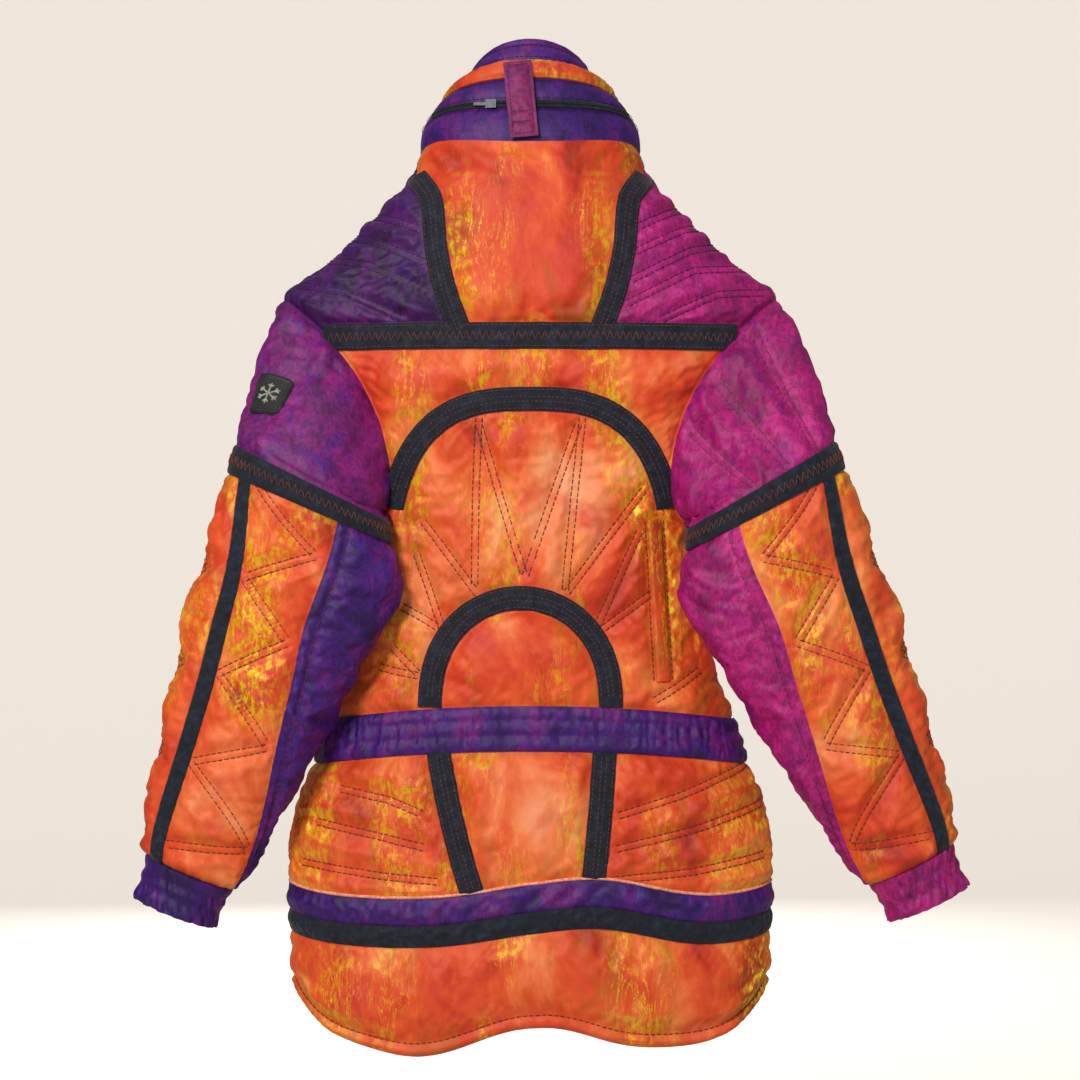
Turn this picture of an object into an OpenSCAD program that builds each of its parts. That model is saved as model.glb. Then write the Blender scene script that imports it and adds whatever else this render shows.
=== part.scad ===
// Ski jacket: a long insulated jacket, cut as separate fabric panels, with its tapes, zips,
// snaps, collar, lining and sleeves. The wearer faces -Y, +X is the wearer's left, Z is up,
// and the origin is on the hem line below the middle of the body. All sizes are millimetres.

/* [Body] */
// Half width of the body at the hem
hem_w = 221; // [217:1:225]
// Half width of the body at the waistband
waist_w = 192; // [189:1:195]
// Half width of the body just below the arms
chest_w = 156; // [154:1:158]
// Half depth of the front, which hangs straight along its zip
front_d = 70; // [68:1:72]
// Thickness of a quilted outer panel
shell_t = 4; // [3:0.5:4]
// Height of the lower edge of the waistband
waist_z = 281; // [276:1:286]
// Height of the waistband
waist_h = 41; // [36:1:44]
// Height of the lower edge of the yoke tape
yoke_z = 649; // [645:1:653]
// Width of the narrow tapes
tape_w = 22; // [18:1:24]

/* [Collar] */
// Half width of the collar at its base
collar_w = 103; // [101:1:105]
// Half width of the collar at its top edge
collar_top_w = 57; // [54:1:60]
// Length of the strap over the back of the collar
strap_len = 77; // [70:1:80]
// Width of that strap
strap_w = 26; // [22:1:30]

/* [Sleeves] */
// Half width of the sleeve at the tape around the upper arm
sleeve_w = 82; // [80:1:83]
// Half depth of the sleeve there
sleeve_d = 50; // [48:1:51]
// Angle by which the wearer's right sleeve hangs further out
right_swing = 4; // [2:1:5]
// Height of the elbow
elbow_z = 330; // [320:1:340]
// Half width of the gathered cuff
cuff_w = 37; // [34:1:40]

/* [Fastenings] */
// Width of the storm flap over the zip
flap_w = 46; // [40:1:50]
// Number of snaps down the storm flap
snap_n = 5; // [3:1:6]
// Radius of a snap cap
snap_r = 7; // [6:0.5:7.5]
// Radius of the hole in the zip pull
pull_hole_r = 1.6; // [1.2:0.1:1.8]
// Length of the zip pull
pull_len = 28; // [24:1:32]

/* [Hidden] */

// Section shape of the body: 2 is an ellipse, more is squarer
square = 2.3;
// Gap between neighbouring panels, each side of a seam
seam = 1;
// Depths of the layers under the outer face of a panel
wadding_out = -7;
wadding_in = -10;
lining_out = -13;
lining_in = -15;
// Tapes lie on the panels between these heights
tape_in = 0.7;
tape_out = 2.4;

underarm_z = 490;
shoulder_z = 700;
shoulder_w = 230;
seam_x = 126;
hinge_gap = 4;
// Half the gap between the two fronts, where the zip lies
zip_gap = 6.5;

orange = "#F0603A";
violet = "#4A1080";
plum = "#7E1A78";
magenta = "#C01C80";
navy = "#1A2438";
dark = "#2A2A30";
metal = "#B8B8BC";

function lerp(a, b, t) = a + (b - a) * t;

// Slope of a list of [x, y] knots at knot i
function slope(k, i) =
    let (lo = max(0, i - 1), hi = min(len(k) - 1, i + 1))
    (k[hi][1] - k[lo][1]) / (k[hi][0] - k[lo][0]);

// Smooth curve through a list of [x, y] knots
function curve(k, x, i = 0) =
    x <= k[0][0] ? k[0][1]
    : x >= k[len(k) - 1][0] ? k[len(k) - 1][1]
    : x > k[i + 1][0] ? curve(k, x, i + 1)
    : let (
        h = k[i + 1][0] - k[i][0],
        t = (x - k[i][0]) / h,
        a = slope(k, i) * h,
        b = slope(k, i + 1) * h,
        s = t * t * (3 - 2 * t)
    )
    lerp(k[i][1], k[i + 1][1], s) + t * (1 - t) * (a * (1 - t) - b * t);

// ---- Body surface: a is the angle round the body, from +X through the back (+Y) ----

function half_w(z) = curve([
    [0, hem_w - 6], [60, hem_w], [150, hem_w + 4], [220, hem_w - 1], [270, waist_w + 8],
    [300, waist_w], [345, chest_w + 19], [400, chest_w + 6], [450, chest_w + 1],
    [underarm_z, chest_w], [540, chest_w + 12], [600, 192], [660, 216],
    [shoulder_z, shoulder_w], [736, 186], [782, 139], [812, 112], [833, collar_w],
    [860, collar_w - 4]
], z);
function back_d(z) = curve([[0, 72], [150, 76], [300, 66], [450, 64], [600, 66], [700, 68], [838, 70]], z);

function swept(c, power) = sign(c) * pow(abs(c), power);
function rounded(c, power) = swept(c, 2 / power);
function body(a, z, d) = [
    (half_w(z) + d) * rounded(cos(a), square),
    ((sin(a) > 0 ? back_d(z) : front_d) + d) * rounded(sin(a), square),
    z
];
// Angle, on the left half, of the point of the section at height z that is x from the middle
function angle_at(x, z) = acos(pow(min(1, abs(x) / half_w(z)), square / 2));
// Point of the back at a given x and z
function back_at(x, z, d) =
    let (a = angle_at(x, z), p = body(x < 0 ? 180 - a : a, z, d))
    p;

// ---- Lines that the panels are cut along ----

function bump(a, middle, width) = exp(-pow((a - middle) / width, 2));
function hem_line(a) = 8 + 20 * bump(a, 92, 14) - 8 * bump(a, 64, 14) + 48 * pow(abs(cos(a)), 8);
function hem_tape_line(a) = 101 + 19 * bump(a, 101, 20) + 9 * pow(abs(cos(a)), 6);
function hem_band_line(a) = hem_tape_line(a) + 20;
function skirt_line(a) = hem_band_line(a) + 25;
function waist_line(a) = waist_z - 15 * pow(cos(a), 2);
function waist_top(a) = waist_line(a) + waist_h;
function neck_line(a) = 808 + 30 * sin(a) + 25 * pow(cos(a), 2);
function collar_line(a) = 905 + 36 * sin(a);

// Armhole seam
function armhole_x(z) =
    seam_x + (shoulder_w - seam_x) * pow((z - underarm_z) / (shoulder_z - underarm_z), 2.6);
// Line that the open front swings about
function hinge_x(z) = 85 + (830 - z) * 130 / 830;
// Back edge of the side panels
function side_x(z) = z > underarm_z ? armhole_x(z) : seam_x + 24 * (underarm_z - z) / 168;
// Edge of the back yoke, under the curved shoulder tapes
function yoke_x(z) = curve([
    [660, 62], [700, 77], [740, 86], [787, 91], [805, 102], [812, 107], [833, 101]
], z);

front_edge = function(z) angle_at(zip_gap, z);
front_split = function(z) angle_at(hinge_x(z) - hinge_gap, z);
function back_split(z) = angle_at(hinge_x(z) + hinge_gap, z);
function arm_angle(z) = z < shoulder_z ? angle_at(armhole_x(z), z) : 0;

// ---- Solids ----

// Faces of the closed solid between two grids of points; flip turns the solid's skin round
function slab_faces(nu, nv, flip) =
    let (
        row = nu + 1,
        n = row * (nv + 1),
        skin = [
            for (j = [0:nv - 1], i = [0:nu - 1])
                let (a = j * row + i, b = a + 1, c = b + row, d = a + row)
                each [[a, d, c], [a, c, b], [n + a, n + b, n + c], [n + a, n + c, n + d]]
        ],
        ends = [
            for (i = [0:nu - 1])
                let (a = i, c = nv * row + i)
                each [
                    [a, a + 1, n + a + 1], [a, n + a + 1, n + a],
                    [c + 1, c, n + c], [c + 1, n + c, n + c + 1]
                ]
        ],
        sides = [
            for (j = [0:nv - 1])
                let (a = j * row, b = a + nu)
                each [
                    [a + row, a, n + a], [a + row, n + a, n + a + row],
                    [b, b + row, n + b + row], [b, n + b + row, n + b]
                ]
        ],
        all = concat(skin, ends, sides)
    )
    flip ? [for (f = all) [f[2], f[1], f[0]]] : all;

// A solid as [points, faces], from a function of (u, v, d) and its outer and inner depths
function slab(at, out, in, nu, nv, flip = false) = [
    [for (d = [out, in], j = [0:nv], i = [0:nu]) at(i / nu, j / nv, d)],
    slab_faces(nu, nv, flip)
];

// The same for a closed ring: u goes all the way round
function ring(at, out, in, nu, nv, flip = false) =
    let (
        n = nu * (nv + 1),
        points = [for (d = [out, in], j = [0:nv], i = [0:nu - 1]) at(i / nu, j / nv, d)],
        skin = [
            for (j = [0:nv - 1], i = [0:nu - 1])
                let (a = j * nu + i, b = j * nu + (i + 1) % nu, c = b + nu, d = a + nu)
                each [[a, d, c], [a, c, b], [n + a, n + b, n + c], [n + a, n + c, n + d]]
        ],
        ends = [
            for (i = [0:nu - 1])
                let (a = i, b = (i + 1) % nu, c = nv * nu + i, e = nv * nu + b)
                each [[a, b, n + b], [a, n + b, n + a], [e, c, n + c], [e, n + c, n + e]]
        ],
        all = concat(skin, ends)
    )
    [points, flip ? [for (f = all) [f[2], f[1], f[0]]] : all];

// Draws several closed solids as one polyhedron
module solids(list) {
    starts = [for (i = 0, s = 0; i < len(list); s = s + len(list[i][0]), i = i + 1) s];
    polyhedron(
        points = [for (part = list) each part[0]],
        faces = [for (i = [0:len(list) - 1]) for (f = list[i][1]) [for (k = f) k + starts[i]]]
    );
}

// Panel of the body between two heights, given for an angle, and two angles, given for a height
function patch(low, high, from, to, out, in, nu, nv) = slab(
    function(u, v, d)
        let (
            a1 = lerp(from(400), to(400), u),
            z1 = lerp(low(a1), high(a1), v),
            a2 = lerp(from(z1), to(z1), u),
            z2 = lerp(low(a2), high(a2), v),
            a3 = lerp(from(z2), to(z2), u),
            z3 = lerp(low(a3), high(a3), v)
        )
        body(lerp(from(z3), to(z3), u), z3, d),
    out, in, nu, nv
);

// Back piece that runs right round to the edges of both fronts
function round_back(low, high, out, in, nu, nv) = patch(
    low, high, function(z) -back_split(z), function(z) 180 + back_split(z), out, in, nu, nv
);

// Front piece on one side, side 1 being the wearer's left
function front_patch(side, low, high, edge, split, out, in, nu, nv) = patch(
    function(a) low(side > 0 ? a : 180 - a), function(a) high(side > 0 ? a : 180 - a),
    function(z) side > 0 ? -edge(z) : 180 + split(z),
    function(z) side > 0 ? -split(z) : 180 + edge(z),
    out, in, nu, nv
);

// Flat tape laid on the back along a path of [x, z] points
function back_tape(path, width, n, out = tape_out, in = tape_in) = slab(
    function(u, v, d)
        let (
            p = path(u),
            q = path(u + 0.01) - path(u - 0.01),
            across = [-q[1], q[0]] / norm(q),
            r = p + across * (v - 0.5) * width
        )
        back_at(r[0], r[1], d),
    out, in, n, 2, true
);

// ---- Back and sides ----

module back_yoke() {
    color(orange) solids([patch(
        function(a) yoke_z + seam, function(a) neck_line(a) - seam,
        function(z) angle_at(yoke_x(z) - seam, z), function(z) 180 - angle_at(yoke_x(z) - seam, z),
        0, -shell_t, 16, 8
    )]);
}

// Shoulder panel in two pieces, joined along the top of the shoulder; side 1 is the left
module shoulder(side, shade) {
    turn = function(a) side > 0 ? a : 180 - a;
    behind = [function(z) arm_angle(z) + 0.6, function(z) angle_at(yoke_x(z) + seam, z)];
    ahead = [function(z) -back_split(z), function(z) -arm_angle(z) - 0.6];
    front_foot = 572;
    color(shade) solids([
        for (edge = [behind, ahead])
            patch(
                function(a) edge == behind ? yoke_z + seam : front_foot,
                function(a) neck_line(a) - seam,
                function(z) turn(edge[side > 0 ? 0 : 1](z)), function(z) turn(edge[side > 0 ? 1 : 0](z)),
                0, -shell_t, 8, 10
            )
    ]);
}

module back_panel() {
    color(orange) solids([patch(
        function(a) waist_top(a) + seam, function(a) yoke_z - seam,
        function(z) angle_at(side_x(z) - seam, z), function(z) 180 - angle_at(side_x(z) - seam, z),
        0, -shell_t, 20, 12
    )]);
}

module side_panels() {
    from = function(z) -back_split(z);
    to = function(z) angle_at(side_x(z) + seam, z);
    top = underarm_z - 20;
    color(orange) solids([
        patch(function(a) waist_top(a) + seam, function(a) top, from, to, 0, -shell_t, 8, 8),
        patch(
            function(a) waist_top(a) + seam, function(a) top,
            function(z) 180 - to(z), function(z) 180 - from(z), 0, -shell_t, 8, 8
        )
    ]);
}

module back_waistband() {
    color(violet) solids([round_back(
        function(a) waist_line(a) + seam, function(a) waist_top(a) - seam, 2, -shell_t, 32, 2
    )]);
}

module back_skirt() {
    color(orange) solids([round_back(
        function(a) skirt_line(a) + seam, function(a) waist_line(a) - seam, 0, -shell_t, 30, 5
    )]);
}

module back_hem_band() {
    color(violet) solids([round_back(
        function(a) hem_band_line(a) + seam, function(a) skirt_line(a) - seam, 0, -shell_t, 30, 2
    )]);
}

module back_hem_panel() {
    color(orange) solids([round_back(
        function(a) hem_line(a), function(a) hem_tape_line(a) - seam, 0, -shell_t, 34, 4
    )]);
}

// Tape across the back below the yoke, and the curved tapes up to the collar
module yoke_tapes() {
    across_x = 165;
    level = yoke_z + 12;
    foot = level + 14;
    head = 806;
    color(navy) solids(concat(
        [back_tape(function(u) [lerp(-across_x - 10, across_x, u), level], 24, 20)],
        [for (side = [-1, 1]) back_tape(
            function(u) [side * yoke_x(lerp(foot, head, u)), lerp(foot, head, u)], tape_w - 2, 12
        )]
    ));
}

// The wide arch over the whole back, and the small arch above the waistband
module arch_tapes() {
    wide = function(u) [132 * swept(cos(180 * u), 0.7), 440 + 163 * swept(sin(180 * u), 0.8)];
    small = function(u) [9 + 83 * cos(180 * u), waist_z + waist_h + 8 + 91 * swept(sin(180 * u), 0.9)];
    color(navy) solids([
        back_tape(function(u) wide(lerp(0.19, 0.81, u)), tape_w, 24),
        back_tape(function(u) small(lerp(0.01, 0.99, u)), tape_w, 20)
    ]);
}

// Two tapes down the skirt, and the tape along the hem band
module skirt_tapes() {
    left = function(u) [lerp(51, 84, smooth_bow(u)), lerp(150, waist_z - 5, u)];
    right = function(u) [lerp(-57, -68, smooth_bow(u)), lerp(154, waist_z - 5, u)];
    color(navy) solids([
        back_tape(left, tape_w, 6),
        back_tape(right, tape_w, 6),
        round_back(
            function(a) hem_tape_line(a) + seam, function(a) hem_band_line(a) - seam,
            1, -shell_t, 34, 1
        )
    ]);
}
function smooth_bow(u) = u + 0.35 * u * (1 - u);

// Narrow welt on the wearer's right of the back
module back_welt() {
    color(orange) solids([back_tape(
        function(u) [lerp(-122, -113.5, u), lerp(344, 493, u)], 12, 5, 3, tape_in
    )]);
}

module back_lining() {
    color(plum) solids([
        patch(
            function(a) hem_line(a) + 40, function(a) 480,
            function(z) -back_split(z), function(z) 180 + back_split(z), lining_out, lining_in, 26, 8
        ),
        patch(
            function(a) 484, function(a) neck_line(a) - 14,
            function(z) max(arm_angle(z), 4) + 5, function(z) 175 - max(arm_angle(z), 4),
            lining_out - 1, lining_in - 1, 18, 12
        )
    ]);
}

module back_wadding() {
    color("white") solids([
        patch(
            function(a) skirt_line(a) + 6, function(a) 480,
            function(z) -back_split(z) + 1, function(z) 179 + back_split(z),
            wadding_out, wadding_in, 24, 7
        ),
        patch(
            function(a) 484, function(a) neck_line(a) - 40,
            function(z) max(arm_angle(z), 4) + 9, function(z) 171 - max(arm_angle(z), 4),
            wadding_out - 3, wadding_in - 1, 18, 14
        )
    ]);
}

// ---- Collar: t runs from its base (0) to its top edge (1) ----

stand_t = 0.6;
roll_t = 0.77;
zip_t = 0.35;
collar_back_end = 14;
collar_front_end = 24;

function collar_half_w(t) = curve([
    [0, collar_w], [zip_t, 97], [stand_t, 83], [roll_t, 67], [1, collar_top_w]
], t);
function collar_d(t) = curve([[0, front_d], [stand_t, 60], [1, 50]], t);
function collar_power(t) = lerp(square, 2, t);
function collar(a, t, d) = [
    (collar_half_w(t) + d) * rounded(cos(a), collar_power(t)),
    collar_d(t) - front_d + (collar_d(t) + d) * rounded(sin(a), collar_power(t)),
    lerp(neck_line(a), collar_line(a), t)
];

function collar_patch(a0, a1, t0, t1, out, in, nu, nv) = slab(
    function(u, v, d) collar(lerp(a0, a1, u), lerp(t0, t1, v), d), out, in, nu, nv
);

// Part of the collar that stays with the back
function collar_back(t0, t1, out, in, nv) =
    collar_patch(-collar_back_end, 180 + collar_back_end, t0, t1, out, in, 26, nv);

module back_collar() {
    color(violet) solids([collar_back(0.02, stand_t - 0.01, 0, -shell_t, 4)]);
}

module collar_roll() {
    color(orange) solids([collar_back(stand_t + 0.01, roll_t - 0.01, 2, -shell_t, 3)]);
}

module collar_top() {
    color(violet) solids([collar_back(roll_t + 0.01, 1, 0, -shell_t, 3)]);
}

// Zip of the hood pocket across the back of the collar
module collar_zip() {
    color(navy) solids([collar_patch(24, 156, zip_t - 0.035, zip_t + 0.035, 2, tape_in, 20, 1)]);
}

// Thin hood, folded flat inside the back of the collar
module stowed_hood() {
    color(violet) solids([collar_patch(30, 150, 0.1, 0.52, -6, -13, 14, 3)]);
}

// Cord loop inside the neck, from which the jacket hangs on a hook
module hang_loop() {
    loop_r = 16;
    cord_r = 1.6;
    color(navy) translate([0, 50.8, 822]) rotate([82, 0, 0])
        rotate_extrude(angle = 180, $fn = 48) translate([loop_r, 0]) circle(r = cord_r, $fn = 20);
}

// ---- Fronts ----

module front(side, shade) {
    outer = function(z) z > underarm_z + 0.1
        ? max(front_split(z), angle_at(armhole_x(z) - seam, z)) : front_split(z);
    color(shade) solids([front_patch(
        side, function(a) waist_top(a) + seam, function(a) neck_line(a) - seam,
        front_edge, outer, 0, -shell_t, 8, 16
    )]);
}

module front_skirt(side) {
    color(orange) solids([
        front_patch(
            side, function(a) skirt_line(a) + seam, function(a) waist_line(a) - seam,
            front_edge, front_split, 0, -shell_t, 10, 4
        ),
        front_patch(
            side, function(a) hem_line(a), function(a) hem_tape_line(a) - seam,
            front_edge, front_split, 0, -shell_t, 12, 3
        )
    ]);
}

module front_bands(side) {
    color(violet) solids([
        front_patch(
            side, function(a) waist_line(a) + seam, function(a) waist_top(a) - seam,
            front_edge, front_split, 0, -shell_t, 10, 2
        ),
        front_patch(
            side, function(a) hem_band_line(a) + seam, function(a) skirt_line(a) - seam,
            front_edge, front_split, 0, -shell_t, 10, 1
        )
    ]);
}

// Hem tape of one front
module front_tape(side) {
    color(navy) solids([front_patch(
        side, function(a) hem_tape_line(a) + seam, function(a) hem_band_line(a) - seam,
        front_edge, front_split, 1, -shell_t, 12, 1
    )]);
}

module front_collar(side) {
    // The edge at the zip is straight
    edge = function(t) acos(pow(zip_gap / collar_half_w(t), collar_power(t) / 2));
    piece = function(t0, t1, out, nv) slab(
        function(u, v, d)
            let (t = lerp(t0, t1, v), a = lerp(edge(t), collar_front_end, u))
            collar(side > 0 ? -a : 180 + a, t, d),
        out, -shell_t, 8, nv, side < 0
    );
    color(violet) solids([
        piece(0.02, stand_t - 0.01, 0, 4),
        piece(stand_t + 0.01, roll_t - 0.01, 1, 2),
        piece(roll_t + 0.01, 1, 0, 2)
    ]);
}

module front_lining(side) {
    edge = function(z) angle_at(18, z);
    split = function(z)
        angle_at(min(hinge_x(z) - hinge_gap - 10, z > underarm_z ? armhole_x(z) - 10 : 500), z);
    color(plum) solids([front_patch(
        side, function(a) hem_line(a) + 45, function(a) neck_line(a) - 12,
        edge, split, lining_out + 4, lining_in + 2, 8, 14
    )]);
}

// ---- Main zip, straight down the front ----

zip_low = 62;
zip_high = 858;
zip_y = 6 - front_d;
teeth_w = 2.6;
zip_tape_w = 7;
teeth_d = 3.6;

// Half of the zip: a cloth tape with a row of teeth along its edge
// The slider stands above the end of the right half when the zip is closed
module zip(side) {
    top = side > 0 ? zip_high : slider_z - 1.5;
    color(dark) for (part = [[3.4, zip_tape_w, 1.2], [0.5, teeth_w, teeth_d]])
        translate([side > 0 ? part[0] : -part[0] - part[1], zip_y - part[2] / 2, zip_low])
            cube([part[1], part[2], top - zip_low]);
}

// Slider: two plates joined by a thin wedge between the rows of teeth
slider_z = 846;
slider_h = 13;
slider_w = 10;
plate_t = 1.2;
plate_gap = 4.6;
bridge_t = 3.4;
module main_slider() {
    color(metal) union() {
        for (y = [-plate_gap / 2 - plate_t, plate_gap / 2])
            translate([-slider_w / 2, zip_y + y, slider_z])
                cube([slider_w, plate_t, slider_h]);
        translate([-0.3, zip_y - plate_gap / 2 - 0.2, slider_z + slider_h - 6])
            cube([0.6, plate_gap + 0.4, 5]);
        // Bridge that holds the pull
        translate([-1, zip_y - plate_gap / 2 - plate_t - bridge_t, slider_z + 3])
            difference() {
                cube([2, bridge_t + 0.2, 8]);
                translate([-1, 0.8, 2]) cube([4, bridge_t - 0.8, 4]);
            }
    }
}

// Pull, hanging from the slider's bridge, with a hole for a cord at its lower end
pull_y = zip_y - plate_gap / 2 - plate_t - 1.3;
pull_z = slider_z + 7;
module main_pull() {
    pull_t = 1.4;
    head_w = 3.2;
    color(metal) difference() {
        translate([0, pull_y + pull_t / 2, 0]) rotate([90, 0, 0]) linear_extrude(pull_t) {
            translate([-4, pull_z - pull_len]) square([8, pull_len - 5.2]);
            translate([-4, pull_z - 6]) square([2, 7]);
            translate([2, pull_z - 6]) square([2, 7]);
            translate([-4, pull_z - 0.7]) square([8, 1.7]);
        }
        translate([0, pull_y, pull_z - pull_len + head_w + 1])
            rotate([90, 0, 0]) cylinder(r = pull_hole_r, h = 8, center = true, $fn = 40);
    }
}

// ---- Storm flap, fixed along the left of the zip and snapped to the right front ----

flap_low = 100;
flap_high = 770;
flap_in = front_d + 4.6;
flap_t = 4.4;
module storm_flap() {
    corner = 6;
    color(orange) translate([0, -flap_in, 0]) rotate([90, 0, 0]) linear_extrude(flap_t)
        translate([-flap_w / 2, flap_low]) difference() {
            square([flap_w, flap_high - flap_low]);
            for (edge = [[0, 0, 0], [0, flap_high - flap_low, -90]])
                translate([edge[0], edge[1]]) rotate(edge[2]) difference() {
                    translate([-1, -1]) square(corner + 1);
                    translate([corner, corner]) circle(corner, $fn = 32);
                }
        }
}

snap_x = -flap_w / 2 + 11;
function snap_height(i) = lerp(flap_low + 40, flap_high - 30, i / (snap_n - 1));
module snap_caps() {
    cap_t = 2;
    color(metal) for (i = [0:snap_n - 1])
        translate([snap_x, -flap_in - flap_t - 0.3, snap_height(i)]) rotate([90, 0, 0])
            rotate_extrude($fn = 36) polygon([
                [0, 0], [snap_r, 0], [snap_r, 0.8], [snap_r * 0.8, cap_t - 0.3],
                [snap_r * 0.4, cap_t], [0, cap_t]
            ]);
}

module snap_studs() {
    stud_t = 2.4;
    color(metal) for (i = [0:snap_n - 1])
        translate([snap_x, -front_d - 0.9, snap_height(i)]) rotate([90, 0, 0])
            rotate_extrude($fn = 36) polygon([
                [0, 0], [snap_r - 1, 0], [snap_r - 1, 0.8], [2.6, 0.8], [2.2, stud_t], [0, stud_t]
            ]);
}

// ---- Hardware on the back of the collar ----

collar_slider_x = 36;
module collar_slider() {
    p = collar(angle_at(collar_slider_x * 103 / 97, 833), zip_t, 2.6);
    color(metal) translate([collar_slider_x, p[1] + 0.8, p[2]]) rotate([0, 0, -10]) {
        translate([-5, 0, -4]) cube([10, 1.4, 8]);
        translate([4, 0.1, -1.5]) cube([12, 1.2, 3]);
    }
}

module collar_strap() {
    top = [12, 914];
    foot = [5, 914 - strap_len];
    lean = atan((top[0] - foot[0]) / strap_len);
    // The strap hangs straight from the collar roll, clear of the zip below it
    hang = 18;
    color(magenta) translate([top[0], 52, top[1]]) rotate([hang, lean, 0])
        translate([-strap_w / 2, 0, -strap_len]) cube([strap_w, 2.4, strap_len]);
}

// ---- Sleeves: c is the height of the centre line, f the angle round the sleeve from outside ----

tape_ring_z = 529;
cuff_z = 168;
cuff_low = 134;
function sleeve_x(c) = curve([
    [cuff_low, 326], [cuff_z, 313], [191, 305], [235, 289], [327, 255], [381, 235], [450, 208],
    [tape_ring_z, 199]
], c);
function sleeve_y(c) = curve([[cuff_low, 57], [327, 62], [381, 65], [450, 68], [tape_ring_z, 62]], c);
function sleeve_lean(c) = curve([
    [cuff_low, 22], [191, 23], [235, 22], [327, 18], [381, 16], [450, 17], [tape_ring_z, 27]
], c);
function sleeve_hw(c) = curve([
    [cuff_z, 49], [191, 57], [235, 65], [327, 78], [381, sleeve_w + 4], [450, sleeve_w + 10],
    [tape_ring_z, sleeve_w]
], c);
function sleeve_hd(c) = curve([
    [cuff_z, 37], [191, 41], [235, 44], [327, 48], [450, sleeve_d - 3], [tape_ring_z, sleeve_d]
], c);
// Angle of the seam between the outer and the under panel
function under_seam(c) = curve([
    [175, 166], [225, 147], [283, 128], [345, 116], [432, 105], [tape_ring_z, 116]
], c);

// Puts a point of the left sleeve on its side: the right sleeve swings out, then mirrors
function on_side(side, p) =
    side > 0 ? p
    : let (
        x = p[0] - shoulder_w,
        z = p[2] - shoulder_z,
        s = right_swing
    )
    [-(shoulder_w + x * cos(s) - z * sin(s)), p[1], shoulder_z + x * sin(s) + z * cos(s)];

function sleeve(side, f, c, d) =
    let (w = (sleeve_hw(c) + d) * cos(f), lean = sleeve_lean(c))
    on_side(side, [
        sleeve_x(c) + w * cos(lean),
        sleeve_y(c) + (sleeve_hd(c) + d) * sin(f),
        c + w * sin(lean)
    ]);

function sleeve_panel(side, from, to, low, high, out, in, nu, nv) = slab(
    function(u, v, d)
        let (c = lerp(low, high, v)) sleeve(side, lerp(from(c), to(c), u), c, d),
    out, in, nu, nv, side < 0
);

// Armhole edge of the sleeve, at angle f from the shoulder point through the back
foot_angle = 125;
function armhole(f, d) =
    let (
        g = f > 180 ? 360 - f : f,
        back = f > 180 ? -1 : 1,
        z = underarm_z + 2 + (shoulder_z - underarm_z - 2) * (1 - pow(min(1, g / foot_angle), 1.4)),
        x = armhole_x(z),
        a = g < foot_angle ? angle_at(x, z)
            : angle_at(seam_x, underarm_z) * (180 - g) / (180 - foot_angle),
        p = body(back * a, z, g < foot_angle ? d : 0)
    )
    [p[0] + 3, p[1], p[2] + (g < foot_angle ? 0 : -d * (g - foot_angle) / (180 - foot_angle))];

// Sleeve cap: v runs from the armhole (0) to the tape around the upper arm (1)
cap_swell = 7;
function cap(side, f, v, d) =
    let (
        from = armhole(f, d),
        start = side > 0 ? from : [-from[0], from[1], from[2]],
        p = lerp(start, sleeve(side, f, tape_ring_z, d), v),
        out = cap_swell * sin(180 * v) * max(0, cos(f))
    )
    [p[0] + side * out, p[1], p[2] + out * 0.4];

module sleeve_cap(side, shade) {
    color(shade) solids([
        ring(function(u, v, d) cap(side, 360 * u, v, d), 0, -shell_t, 36, 5, side > 0)
    ]);
}

upper_low = elbow_z + 4;
upper_high = tape_ring_z - 3;
lower_high = elbow_z - 4;

module upper_outer(side) {
    edge = function(c) under_seam(c) - 1;
    color(orange) solids([sleeve_panel(
        side, function(c) -edge(c), edge, upper_low, upper_high, 0, -shell_t, 20, 5
    )]);
}

module upper_under(side, shade) {
    color(shade) solids([sleeve_panel(
        side, function(c) under_seam(c) + 1, function(c) 359 - under_seam(c),
        upper_low, upper_high, 0, -shell_t, 12, 5
    )]);
}

module forearm_outer(side) {
    edge = function(c) under_seam(c) - 1;
    color(orange) solids([sleeve_panel(
        side, function(c) -edge(c), edge, cuff_z + 3, lower_high, 0, -shell_t, 20, 5
    )]);
}

module forearm_under(side, shade) {
    color(shade) solids([sleeve_panel(
        side, function(c) under_seam(c) + 1, function(c) 359 - under_seam(c),
        cuff_z + 3, lower_high, 0, -shell_t, 10, 5
    )]);
}

// Stripe down the back of the sleeve, as wide as the tapes
function stripe_angle(c) = curve([[cuff_z, 46], [280, 54], [400, 53], [tape_ring_z, 36]], c);
function stripe(side, low, high, n) =
    let (half = function(c) 10 / sleeve_hw(c) * 180 / PI)
    sleeve_panel(
        side, function(c) stripe_angle(c) - half(c), function(c) stripe_angle(c) + half(c),
        low, high, tape_out, tape_in, 2, n
    );

// Tape round the upper arm, and the upper part of the stripe
module upper_tapes(side) {
    color(navy) solids([
        ring(
            function(u, v, d) sleeve(side, 360 * u, lerp(upper_high - 23, upper_high - 1, v), d),
            tape_out, tape_in, 36, 1, side < 0
        ),
        stripe(side, upper_low, upper_high - 25, 5)
    ]);
}

module forearm_tape(side) {
    color(navy) solids([stripe(side, cuff_z + 4, lower_high, 5)]);
}

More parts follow.
